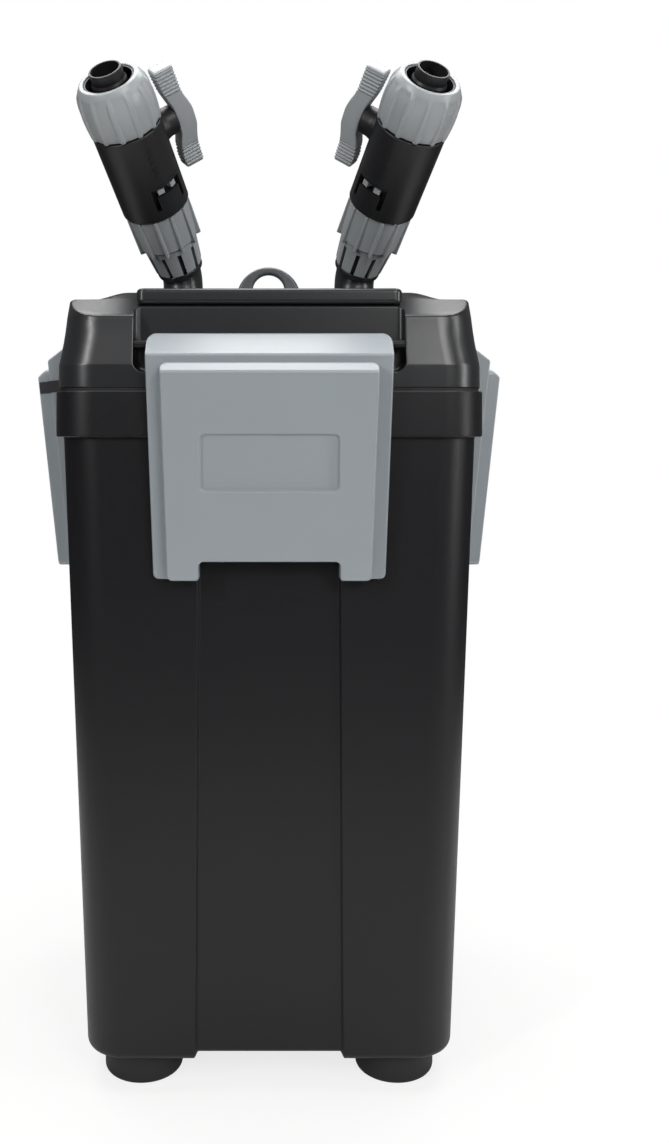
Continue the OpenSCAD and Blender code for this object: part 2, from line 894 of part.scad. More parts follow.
module riser_pipe() {
    color("#4b5d6b")
    translate([-port_x, 0, riser_bottom_z])
        ring(riser_d, riser_d - 2 * riser_wall, riser_top_z - riser_bottom_z);
}

module riser_seal() {
    color(rubber_black)
    translate([-port_x, 0, riser_top_z - 8 + 0.1])
        ring(riser_d + 3, riser_d + 2 * running_gap, 2.4);
}

module drain_cells(w, t) {
    count = floor((w - 2 * cell_wall) / (cell + cell_wall));
    pitch = cell + cell_wall;
    for (i = [0 : count - 1], j = [0 : count - 1])
        let (x = (i - (count - 1) / 2) * pitch, y = (j - (count - 1) / 2) * pitch)
            if (norm([x + port_x, y]) > sleeve_bore / 2 + sleeve_wall + cell * 0.75)
                translate([x, y, 0])
                    cube([cell, cell, t], center = true);
}

module basket(level) {
    inner = basket_w - 2 * basket_wall;
    color("#5a5d61")
    translate([0, 0, stack_z + level * basket_h])
        difference() {
            union() {
                difference() {
                    linear_extrude(height = basket_h)
                        rounded(basket_w, basket_w, basket_r);
                    translate([0, 0, basket_floor_t])
                        linear_extrude(height = basket_h)
                            rounded(inner, inner, basket_r - basket_wall);
                }
                translate([-port_x, 0, 0])
                    cylinder(d = sleeve_bore + 2 * sleeve_wall, h = basket_h);
            }
            drain_cells(inner - 10, 3 * basket_floor_t);
            translate([-port_x, 0, -eps])
                cylinder(d = sleeve_bore, h = basket_h + 2 * eps);
        }
}

module foam_pad(level, tint) {
    inner = basket_w - 2 * basket_wall - 2 * free_gap;
    color(tint)
    translate([0, 0, stack_z + level * basket_h + basket_floor_t + free_gap])
        difference() {
            linear_extrude(height = pad_h)
                rounded(inner, inner, basket_r - basket_wall);
            translate([-port_x, 0, -eps])
                cylinder(d = sleeve_bore + 2 * sleeve_wall + 2 * free_gap, h = pad_h + 2 * eps);
        }
}

module basket_cover() {
    color("#5a5d61")
    translate([0, 0, stack_z + basket_count * basket_h])
        difference() {
            linear_extrude(height = cover_plate_t)
                rounded(basket_w, basket_w, basket_r);
            drain_cells(basket_w - 2 * basket_wall - 10, 3 * cover_plate_t);
            translate([-port_x, 0, -eps])
                cylinder(d = sleeve_bore, h = cover_plate_t + 2 * eps);
        }
}

// ---- Clips ----

// Side section of a clip: sloped top, leaning face, shoulder that hooks the collar
module clip_section() {
    polygon([
        [clip_back, clip_top_z], [clip_reach, slope_z],
        [face_reach(clip_foot_z), clip_foot_z],
        [tub_half(clip_foot_z) + clip_clear, clip_foot_z],
        [tub_half(collar_z) + clip_clear, collar_z - hook_drop - hook_fall],
        [collar_face, collar_z - hook_drop],
        [collar_face, pin_z - 8.5], [pin_reach, pin_z - barrel_r], [pin_reach - 2, clip_top_z - 1.8]
    ]);
}

// Side section of the raised plate, bevelled along its top
module plate_section() {
    polygon([
        [face_reach(plate_top_z) - 3, plate_top_z],
        [face_reach(plate_top_z) + plate_step, plate_top_z],
        [plate_reach(plate_top_z - plate_bevel), plate_top_z - plate_bevel],
        [plate_reach(clip_foot_z), clip_foot_z],
        [face_reach(clip_foot_z) - 3, clip_foot_z]
    ]);
}

function corner(x, y, r, a0, a1, n = 6) =
    [for (i = [0 : n]) let (a = a0 + (a1 - a0) * i / n) [x + r * cos(a), y + r * sin(a)]];

// Front outline with round corners and a finger notch in its foot
module clip_outline(top_half, foot_half, top_z, r) {
    difference() {
        polygon(concat(
            corner(top_half - r, top_z - r, r, 0, 90),
            corner(-top_half + r, top_z - r, r, 90, 180),
            corner(-foot_half + r / 2, clip_foot_z + r / 2, r / 2, 180, 270),
            corner(foot_half - r / 2, clip_foot_z + r / 2, r / 2, 270, 360)
        ));
        translate([-finger_w / 2, clip_foot_z - 1])
            square([finger_w, finger_h + 1]);
    }
}

module clip_pocket() {
    pocket_half = clip_base_w / 2 - plate_margin - clip_wall;
    low_z = clip_foot_z + finger_h + clip_wall;
    high_z = collar_z - hook_drop - 5;
    for (side = [-1, 1])
        intersection() {
            across(2 * clip_w)
                polygon([
                    [0, low_z], [plate_reach(low_z) - clip_wall, low_z],
                    [plate_reach(high_z) - clip_wall, high_z], [0, high_z]
                ]);
            outwards(lid_w)
                translate([side * (pocket_half + clip_wall / 2) / 2, (low_z + high_z) / 2])
                    square([pocket_half - clip_wall / 2, high_z - low_z], center = true);
        }
}

module clip(turn) {
    color(clip_grey)
    on_side(turn)
        difference() {
            union() {
                intersection() {
                    across(2 * clip_w) clip_section();
                    outwards(lid_w)
                        clip_outline(clip_w / 2, clip_base_w / 2, clip_top_z, clip_corner_r);
                }
                intersection() {
                    across(2 * clip_w) plate_section();
                    outwards(lid_w)
                        clip_outline(clip_half(plate_top_z) - plate_margin, clip_base_w / 2 - plate_margin,
                            plate_top_z, clip_corner_r);
                }
                hinge_pin_form(barrel_r, clip_w - 2 * clip_corner_r);
            }
            hinge_pin_form(pin_d / 2 + running_gap, clip_w + 2);
            clip_pocket();
            translate([plate_reach(recess_z) - recess_depth, 0, recess_z])
                rotate([0, clip_lean, 0])
                    translate([5, 0, 0])
                        cube([10, recess_w, recess_h], center = true);
        }
}

module hinge_pin_form(r, l) {
    translate([pin_reach, 0, pin_z])
        rotate([90, 0, 0])
            cylinder(r = r, h = l, center = true);
}

module hinge_pin(turn) {
    color(steel)
    on_side(turn)
        hinge_pin_form(pin_d / 2, pin_l);
}

// Bare strip stuck over the step between plate and frame, on the left clip's front end
module left_clip_label() {
    top_half = clip_half(plate_top_z) - plate_margin;
    foot_half = clip_base_w / 2 - plate_margin;
    rise = plate_top_z - clip_foot_z - 1.5 * clip_corner_r;
    flare = atan((top_half - foot_half) / rise);
    side = foot_half + (label_z - clip_foot_z - clip_corner_r / 2) * tan(flare);
    low = 0.02;
    high = low + label_t;
    color(rubber_black)
    on_side(180)
        translate([face_reach(label_z), side, label_z])
            rotate([-flare, clip_lean, 0])
                linear_extrude(height = label_h, center = true)
                    polygon([
                        [plate_out - label_inset, low], [plate_out - label_inset, high],
                        [high, high], [high, plate_margin + high],
                        [-label_back, plate_margin + high], [-label_back, plate_margin + low],
                        [low, plate_margin + low], [low, low]
                    ]);
}

// ---- Hose valves ----

// Turns its children onto one side's elbow, with +Z up the elbow
module on_port(side) {
    translate([side * port_x, 0, 0])
        rotate([0, 0, side * splay_angle])
            children();
}

// Places its children on the tail, with +Z along it from the end of the bend
module on_tail(side) {
    on_port(side)
        translate([0, -bend_r, bend_z])
            rotate([bend_angle, 0, 0])
                translate([0, bend_r, 0])
                    children();
}

// Turns its children on the tail onto the valve's stem, with +Z out along it
module along_stem(side) {
    translate([0, 0, stem_at])
        rotate([0, 0, -side * stem_turn])
            rotate([0, -side * 90, 0])
                children();
}

module elbow_run(side, d, grow) {
    on_port(side) {
        translate([0, 0, elbow_foot_z - grow])
            cylinder(d = d, h = bend_z - elbow_foot_z + grow);
        translate([0, -bend_r, bend_z])
            rotate([90, 0, 90])
                rotate_extrude(angle = bend_angle)
                    translate([bend_r, 0])
                        circle(d = d);
    }
    on_tail(side)
        translate([0, 0, -tail_overlap])
            cylinder(d = d + 2 * tail_step, h = tail_l + tail_overlap + grow);
}

module elbow(side) {
    color(satin_black)
    difference() {
        elbow_run(side, elbow_d, 0);
        elbow_run(side, elbow_bore, eps);
        on_port(side) {
            translate([0, 0, seal_z - 1])
                ring(elbow_d + 1, elbow_d - 3.6, 2);
            translate([0, 0, ring_groove_z])
                ring(elbow_d + 1, elbow_d - 2 * groove_depth, 2.2);
        }
    }
}

module elbow_seal(side) {
    color(rubber_black)
    on_port(side)
        translate([0, 0, seal_z])
            rotate_extrude()
                translate([elbow_d / 2 - 1, 0])
                    circle(d = 1.5, $fn = 24);
}

module elbow_ring(side) {
    color(steel)
    on_port(side)
        translate([0, 0, ring_groove_z + 0.1])
            ring(elbow_ring_d, elbow_d - 2 * groove_depth + 2 * running_gap, 2);
}

module collet(side) {
    bore = tail_bore;
    top = body_at - collet_gap;
    color(clip_grey)
    on_tail(side)
        difference() {
            union() {
                rotate_extrude()
                    polygon([
                        [bore / 2, 0], [collet_tip_d / 2, 0], [fin_root_d / 2 - 1.2, finger_l],
                        [fin_root_d / 2, finger_l + 1], [collet_d / 2 - 0.4, top], [bore / 2, top]
                    ]);
                for (i = [0 : fin_count - 1])
                    rotate([0, 0, (i + 0.5) * 360 / fin_count])
                        translate([collet_tip_d / 2 - 1, -fin_t / 2, finger_l - 1])
                            cube([collet_d / 2 - collet_tip_d / 2 + 1, fin_t, top - finger_l + 1]);
            }
            for (i = [0 : slot_count - 1])
                rotate([0, 0, i * 360 / slot_count])
                    translate([bore / 2 - 1, -slot_w / 2, -eps])
                        cube([collet_d, slot_w, finger_l - 4]);
        }
}

module valve_body(side) {
    color("#2a2b2d")
    on_tail(side)
        difference() {
            union() {
                translate([0, 0, body_at])
                    cylinder(d = valve_d, h = valve_l);
                translate([0, 0, nut_at - eps])
                    cylinder(d = neck_d, h = neck_l + eps);
                along_stem(side)
                    cylinder(d = boss_d, h = boss_r);
            }
            translate([0, 0, body_at - eps])
                cylinder(d = tail_bore, h = tail_l - body_at + 0.2);
            translate([0, 0, tail_l])
                cylinder(d = way_d, h = valve_l);
            translate([0, 0, stem_at - chamber_r])
                cylinder(r = chamber_r, h = valve_l);
            along_stem(side)
                cylinder(d = stem_d + 2 * running_gap, h = boss_r + eps);
            rotate([0, 0, -90 - side * window_turn - window_angle / 2])
                latch_window();
        }
}

// U-shaped slot round the latch tab, in the lower end of a valve's body
module latch_window() {
    leg_l = window_l - window_slot;
    leg_angle = 0.6 * window_leg / (valve_d / 2) * 180 / PI;
    translate([0, 0, body_at + window_low + leg_l])
        rotate_extrude(angle = window_angle)
            translate([valve_d / 2 - window_depth, 0])
                square([window_depth + 1, window_slot]);
    for (a = [leg_angle, window_angle - leg_angle])
        rotate([0, 0, a])
            translate([valve_d / 2 - window_depth - 0.1, -window_leg / 2, body_at + window_low])
                cube([window_depth + 2, window_leg, leg_l + window_slot / 2]);
}

module valve_ball(side) {
    color(steel)
    on_tail(side)
        difference() {
            union() {
                translate([0, 0, stem_at])
                    sphere(d = ball_d);
                along_stem(side)
                    cylinder(d = stem_d, h = stem_end);
            }
            translate([0, 0, stem_at - ball_d / 2 - 1])
                cylinder(d = way_d, h = ball_d + 2);
        }
}

// Side outline of the handle: straight arms and a middle that swings outwards
module lever_outline() {
    mid = lever_l / 8;
    arm = lever_l / 2;
    swing = lever_l / 6;
    inner = concat(
        [[-arm, lever_r]], s_curve(-mid - swing, lever_r, -mid, hub_r, 6),
        s_curve(mid, hub_r, mid + swing, lever_r, 6), [[arm, lever_r]]
    );
    outer = [for (i = [len(inner) - 1 : -1 : 0])
        [inner[i][0], inner[i][1] + lever_t - (inner[i][1] - lever_r) * mid_slim]];
    polygon(concat(inner, outer));
}

module lever(side) {
    color(clip_grey)
    on_tail(side)
        along_stem(side)
            difference() {
                rotate([90, 0, 0])
                    linear_extrude(height = lever_w, center = true)
                        lever_outline();
                translate([0, 0, hub_r - eps])
                    cylinder(d = stem_d + 2 * running_gap, h = stem_end - hub_r + 0.1);
                for (end = [-1, 1], face = [-1, 1], i = [0 : rib_count - 1])
                    translate([
                        end * (lever_l / 2 - (i + 0.6) * rib_pitch),
                        face * lever_w / 2, lever_r + lever_t / 2
                    ])
                        cube([rib_gap, 2 * rib_depth, lever_t + 1], center = true);
            }
}

module hose_tail(side) {
    r = hose_tail_d / 2;
    color("#232426")
    on_tail(side)
        rotate_extrude()
            polygon([
                [way_d / 2, tail_base_at], [tail_base_d / 2, tail_base_at],
                [tail_base_d / 2, neck_top], [neck_d / 2, neck_top],
                [neck_d / 2, neck_top + flange_t], [r, neck_top + flange_t],
                [r, tail_top - barb_l], [barb_d / 2, tail_top - barb_l],
                [barb_d / 2, tail_top - barb_l + barb_crest], [r, tail_top], [way_d / 2, tail_top]
            ]);
}

module hose_nut(side) {
    bore = neck_d + 2 * running_gap;
    color(clip_grey)
    on_tail(side)
        difference() {
            rotate_extrude()
                polygon([
                    [bore / 2, nut_at + 0.2], [nut_d / 2 - 0.6, nut_at + 0.2],
                    [nut_d / 2, nut_at + nut_l * 0.45], [nut_d / 2 - 1, nut_top - 4],
                    [nut_rim_r, nut_top], [nut_mouth_d / 2, nut_top],
                    [nut_mouth_d / 2, nut_top - 2.5], [bore / 2, nut_top - 2.5]
                ]);
            for (i = [0 : flute_count - 1])
                rotate([0, 0, i * 360 / flute_count])
                    translate([nut_d / 2 + 0.7, 0, nut_at])
                        cylinder(d = flute_d, h = nut_l - 3);
        }
}

tub();
foot(-1, -1);  // front_left_foot
foot(1, -1);  // front_right_foot
foot(-1, 1);  // rear_left_foot
foot(1, 1);  // rear_right_foot
lid_gasket();
lid();
head_base();
head_screws();
cable_gland();
motor_block();
rotor_magnet();
impeller();
impeller_shaft();
shaft_bush(can_top_z - bush_t, bush_t);  // upper_shaft_bush
shaft_bush(lower_bush_z, lower_bush_h);  // lower_shaft_bush
pump_cover();
priming_cylinder();
priming_plunger();
plunger_seal();
priming_flap();
riser_pipe();
riser_seal();
basket(0);  // lower_basket
basket(1);  // middle_basket
basket(2);  // upper_basket
basket_cover();
foam_pad(0, "#2c3b57");  // lower_foam_pad
foam_pad(1, "#c9b48a");  // middle_foam_pad
foam_pad(2, "#eceade");  // upper_foam_pad
clip(0);  // right_clip
clip(90);  // rear_clip
clip(180);  // left_clip
clip(270);  // front_clip
left_clip_label();
hinge_pin(0);  // right_hinge_pin
hinge_pin(90);  // rear_hinge_pin
hinge_pin(180);  // left_hinge_pin
hinge_pin(270);  // front_hinge_pin
elbow(LEFT);  // left_elbow
elbow_seal(LEFT);  // left_elbow_seal
elbow_ring(LEFT);  // left_elbow_ring
collet(LEFT);  // left_collet
valve_body(LEFT);  // left_valve_body
valve_ball(LEFT);  // left_valve_ball
lever(LEFT);  // left_lever
hose_tail(LEFT);  // left_hose_tail
hose_nut(LEFT);  // left_hose_nut
elbow(RIGHT);  // right_elbow
elbow_seal(RIGHT);  // right_elbow_seal
elbow_ring(RIGHT);  // right_elbow_ring
collet(RIGHT);  // right_collet
valve_body(RIGHT);  // right_valve_body
valve_ball(RIGHT);  // right_valve_ball
lever(RIGHT);  // right_lever
hose_tail(RIGHT);  // right_hose_tail
hose_nut(RIGHT);  // right_hose_nut
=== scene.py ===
import json
import math
import bmesh
import bpy
from mathutils import Matrix, Vector


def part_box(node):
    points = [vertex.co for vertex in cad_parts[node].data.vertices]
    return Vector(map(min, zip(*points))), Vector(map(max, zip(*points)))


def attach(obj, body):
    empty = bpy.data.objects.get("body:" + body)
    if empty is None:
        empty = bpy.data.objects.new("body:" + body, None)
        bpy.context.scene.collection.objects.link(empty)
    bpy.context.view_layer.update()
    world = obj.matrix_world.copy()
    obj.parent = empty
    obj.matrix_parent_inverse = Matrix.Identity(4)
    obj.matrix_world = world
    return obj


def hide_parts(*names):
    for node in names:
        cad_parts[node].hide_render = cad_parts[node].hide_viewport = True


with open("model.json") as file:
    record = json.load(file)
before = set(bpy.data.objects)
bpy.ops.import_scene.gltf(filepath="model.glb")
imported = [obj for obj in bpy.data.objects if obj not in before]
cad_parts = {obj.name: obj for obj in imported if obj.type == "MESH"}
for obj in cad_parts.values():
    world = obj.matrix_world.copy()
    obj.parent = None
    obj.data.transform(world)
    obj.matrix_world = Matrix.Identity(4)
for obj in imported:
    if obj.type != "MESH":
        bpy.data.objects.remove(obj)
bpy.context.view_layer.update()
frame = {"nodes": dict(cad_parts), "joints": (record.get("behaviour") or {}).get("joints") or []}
joints = {joint["name"]: joint for joint in frame["joints"]}
mm = 0.001
# An outline drawn across and up is pulled outwards, and one drawn outwards and up is pulled across
faceOutwards = Matrix(((0, 0, 1, 0), (1, 0, 0, 0), (0, 1, 0, 0), (0, 0, 0, 1)))
seenFromSide = Matrix(((1, 0, 0, 0), (0, 0, -1, 0), (0, 1, 0, 0), (0, 0, 0, 1)))
print("Frame loaded:", len(frame["nodes"]), "CAD nodes")


# Ways of working

def clearSelection():
    if bpy.context.object and bpy.context.object.mode != "OBJECT":
        bpy.ops.object.mode_set(mode="OBJECT")
    bpy.ops.object.select_all(action="DESELECT")


def pick(*pieces):
    clearSelection()
    for piece in pieces:
        piece.select_set(True)
    bpy.context.view_layer.objects.active = pieces[0]
    return pieces[0]


def editAll(piece):
    pick(piece)
    bpy.ops.object.mode_set(mode="EDIT")
    bpy.ops.mesh.select_all(action="SELECT")


def started(name, corners):
    clearSelection()
    bpy.ops.mesh.primitive_circle_add(vertices=corners, radius=10, fill_type="NGON")
    piece = bpy.context.object
    piece.name = piece.data.name = name
    return piece


def normalsOut(piece):
    editAll(piece)
    bpy.ops.mesh.normals_make_consistent(inside=False)
    bpy.ops.object.mode_set(mode="OBJECT")
    return piece


def turned(piece, matrix):
    piece.data.transform(matrix)
    piece.data.update()
    return piece


def pulled(name, outline, low, high, turn=None):  # a closed outline extruded from low to high
    piece = started(name, len(outline))
    for vertex, (right, up) in zip(piece.data.vertices, outline):
        vertex.co = Vector((right, up, low))
    editAll(piece)
    bpy.ops.mesh.extrude_region_move(TRANSFORM_OT_translate={"value": (0, 0, high - low)})
    normalsOut(piece)
    return turned(piece, turn) if turn else piece


def lofted(name, rings):  # one ring of corners extruded again and again, each copy set to its own ring
    piece = started(name, len(rings[0]))
    editAll(piece)
    for ring in rings[1:]:
        bpy.ops.mesh.extrude_region_move(TRANSFORM_OT_translate={"value": (0, 0, 1)})
    bpy.ops.object.mode_set(mode="OBJECT")
    places = [place for ring in rings for place in ring]
    for vertex, place in zip(piece.data.vertices, places):
        vertex.co = Vector(place)
    return normalsOut(piece)


def lathed(name, outline, steps=96, turn=None):  # a closed outline of radius and height spun about Z
    piece = started(name, len(outline))
    for vertex, (radius, up) in zip(piece.data.vertices, outline):
        vertex.co = Vector((radius, 0, up))
    editAll(piece)
    bpy.ops.mesh.delete(type="ONLY_FACE")
    bpy.ops.mesh.select_all(action="SELECT")
    bpy.ops.mesh.spin(steps=steps, angle=2 * math.pi, center=(0, 0, 0), axis=(0, 0, 1))
    bpy.ops.mesh.select_all(action="SELECT")
    bpy.ops.mesh.remove_doubles(threshold=0.002)
    normalsOut(piece)
    return turned(piece, turn) if turn else piece


def plug(name, radius, low, high, steps):  # a plain cylinder round Z, to cut with
    return lathed(name, [(0.01, low), (radius, low), (radius, high), (0.01, high)], steps)


def applied(piece, kind, **settings):
    pick(piece)
    modifier = piece.modifiers.new(kind.title(), kind)
    for name, value in settings.items():
        setattr(modifier, name, value)
    bpy.ops.object.modifier_apply(modifier=modifier.name)
    return piece


def combined(piece, operation, *others):  # cuts triangles, and joins flat faces up again after
    applied(piece, "TRIANGULATE")
    for other in others:
        applied(other, "TRIANGULATE")
        applied(piece, "BOOLEAN", operation=operation, solver="EXACT", object=other)
        bpy.data.objects.remove(other)
    editAll(piece)
    bpy.ops.mesh.remove_doubles(threshold=0.003)
    bpy.ops.object.mode_set(mode="OBJECT")
    return applied(piece, "DECIMATE", decimate_type="DISSOLVE", angle_limit=math.radians(0.1))


def cutBy(piece, *cutters):
    return combined(piece, "DIFFERENCE", *cutters)


def joinedWith(piece, *others):
    return combined(piece, "UNION", *others)


def commonWith(piece, *others):
    return combined(piece, "INTERSECT", *others)


def edgesEased(piece, width, angle=32, segments=3):  # rounds the edges that stand out, not the inside corners
    mesh = bmesh.new()
    mesh.from_mesh(piece.data)
    bmesh.ops.remove_doubles(mesh, verts=mesh.verts, dist=0.12)
    weight = mesh.edges.layers.float.new("bevel_weight_edge")
    for edge in mesh.edges:
        edge[weight] = float(edge.is_manifold and edge.calc_face_angle_signed(0) > math.radians(angle))
    mesh.to_mesh(piece.data)
    mesh.free()
    return applied(piece, "BEVEL", width=width, segments=segments, limit_method="WEIGHT",
                   use_clamp_overlap=False)


def smoothed(piece, angle=35, weighted=True):
    pick(piece)
    bpy.ops.object.shade_smooth_by_angle(angle=math.radians(angle))
    if weighted:
        applied(piece, "WEIGHTED_NORMAL", keep_sharp=True, weight=60)
    return piece


def copied(piece, name, turn=None):
    clone = piece.copy()
    clone.data = piece.data.copy()
    clone.name = clone.data.name = name
    bpy.context.scene.collection.objects.link(clone)
    return turned(clone, turn) if turn else clone


def merged(name, *pieces):
    pick(*pieces)
    if len(pieces) > 1:
        bpy.ops.object.join()
    pieces[0].name = pieces[0].data.name = name
    return pieces[0]


def placed(piece, body, finish, slot, *nodes):  # from millimetres into the frame, riding on its body
    turned(piece, Matrix.Scale(mm, 4))
    piece.data.materials.clear()
    piece.data.materials.append(materials[finish])
    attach(piece, body)
    if nodes:
        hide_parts(*nodes)
    return piece


def quarterTurn(count):
    return Matrix.Rotation(math.pi / 2 * count, 4, "Z")


def arc(x, y, radius, start, end, steps=6):
    turns = [math.radians(start + (end - start) * step / steps) for step in range(steps + 1)]
    return [(x + radius * math.cos(turn), y + radius * math.sin(turn)) for turn in turns]


def easedStep(share):
    share = min(1, max(0, share))
    return share * share * (3 - 2 * share)


def softMin(first, second, blend):
    if blend <= 0:
        return min(first, second)
    share = min(1, max(0, 0.5 + 0.5 * (second - first) / blend))
    return first * share + second * (1 - share) - blend * share * (1 - share)


def roundedSquare(halfWide, halfDeep, radius, steps=8):
    ring = []
    for x, y, start in ((1, 1, 0), (-1, 1, 90), (-1, -1, 180), (1, -1, 270)):
        ring += arc(x * (halfWide - radius), y * (halfDeep - radius), radius, start, start + 90, steps)
    return ring


def atHeight(outline, z):
    return [(x, y, z) for x, y in outline]


def roundedBar(name, halfWide, halfDeep, radius, low, high, ease):  # a slab with every edge rounded
    levels = [(ease * (1 - math.sin(a)), low + ease * (1 - math.cos(a)))
              for a in (math.radians(15 * step) for step in range(7))]
    levels += [(inset, low + high - z) for inset, z in reversed(levels)]
    return lofted(name, [
        atHeight(roundedSquare(halfWide - inset, halfDeep - inset, max(0.3, radius - inset)), z)
        for inset, z in levels])


# Finishes

def linearColour(hexColour):
    parts = [int(hexColour[i:i + 2], 16) / 255 for i in (1, 3, 5)]
    return [part / 12.92 if part <= 0.04045 else ((part + 0.055) / 1.055) ** 2.4 for part in parts] + [1]


def addNode(tree, kind, inputs=None, **settings):
    node = tree.nodes.new("ShaderNode" + kind)
    for name, value in settings.items():
        setattr(node, name, value)
    for socket, value in (inputs or {}).items():
        if isinstance(value, bpy.types.NodeSocket):
            tree.links.new(value, node.inputs[socket])
        else:
            node.inputs[socket].default_value = value
    return node


def newMaterial(name):
    material = bpy.data.materials.new(name)
    material.use_nodes = True
    material.node_tree.nodes.clear()
    return material, material.node_tree


def coated(material, tree, bump, surface):  # a principled shader over a relief, as the material's surface
    relief = addNode(tree, "Bump", bump)
    shader = addNode(tree, "BsdfPrincipled", {"Normal": relief.outputs["Normal"], **surface})
    addNode(tree, "OutputMaterial", {"Surface": shader.outputs[0]})
    return material


def mouldedFinish(name, look):  # a moulded or cast surface: colour drift, gloss drift and a fine relief
    material, tree = newMaterial(name)
    place = addNode(tree, "TexCoord").outputs["Object"]
    drift = addNode(tree, "TexNoise", {
        "Vector": place, "Scale": 1 / (look.get("driftSize", 45) * mm), "Detail": 3, "Roughness": 0.55})
    tint = addNode(tree, "Mix", {
        "Factor": drift.outputs["Fac"], 6: linearColour(look["colour"]),
        7: linearColour(look.get("drift", look["colour"]))}, data_type="RGBA").outputs[2]
    if "fleck" in look:
        specks = addNode(tree, "TexNoise", {
            "Vector": place, "Scale": 1 / (look["fleckSize"] * mm), "Detail": 2})
        share = addNode(tree, "MapRange", {"Value": specks.outputs["Fac"], "From Min": 0.55, "From Max": 0.7})
        tint = addNode(tree, "Mix", {
            "Factor": share.outputs["Result"], 6: tint, 7: linearColour(look["fleck"])},
            data_type="RGBA").outputs[2]
    grain = addNode(tree, "TexNoise", {
        "Vector": place, "Scale": 1 / (look["grain"] * mm), "Detail": look.get("detail", 4),
        "Roughness": 0.6})
    glossDrift = look.get("roughDrift", 0.04)
    gloss = addNode(tree, "MapRange", {
        "Value": grain.outputs["Fac"], "From Min": 0.3, "From Max": 0.7,
        "To Min": look["rough"] - glossDrift, "To Max": look["rough"] + glossDrift})
    bump = {"Height": grain.outputs["Fac"], "Strength": look.get("relief", 0.35),
            "Distance": look.get("depth", 0.05) * mm}
    return coated(material, tree, bump, {
        "Base Color": tint, "Roughness": gloss.outputs["Result"], "Metallic": look.get("metal", 0),
        "IOR": look.get("ior", 1.5), "Specular IOR Level": look.get("specular", 0.5)})


def foamFinish(name, look):  # open-cell foam: pale cell walls, the pores between them darkened with painted shade
    material, tree = newMaterial(name)
    place = addNode(tree, "TexCoord").outputs["Object"]
    cells = addNode(tree, "TexVoronoi", {"Vector": place, "Scale": 1 / (look["cell"] * mm)},
                    feature="DISTANCE_TO_EDGE")
    wall = addNode(tree, "MapRange", {
        "Value": cells.outputs["Distance"], "From Min": 0.04, "From Max": 0.22, "To Min": 1, "To Max": 0})
    # the pore colour is painted shade: the pores are hollows in foam of one colour, darker only by the shade
    # in them
    tint = addNode(tree, "Mix", {
        "Factor": wall.outputs["Result"], 6: linearColour(look["poreShade"]), 7: linearColour(look["colour"])},
        data_type="RGBA").outputs[2]
    bump = {"Height": wall.outputs["Result"], "Strength": 0.8, "Distance": look["cell"] * 0.5 * mm}
    return coated(material, tree, bump, {"Base Color": tint, "Roughness": 0.9})


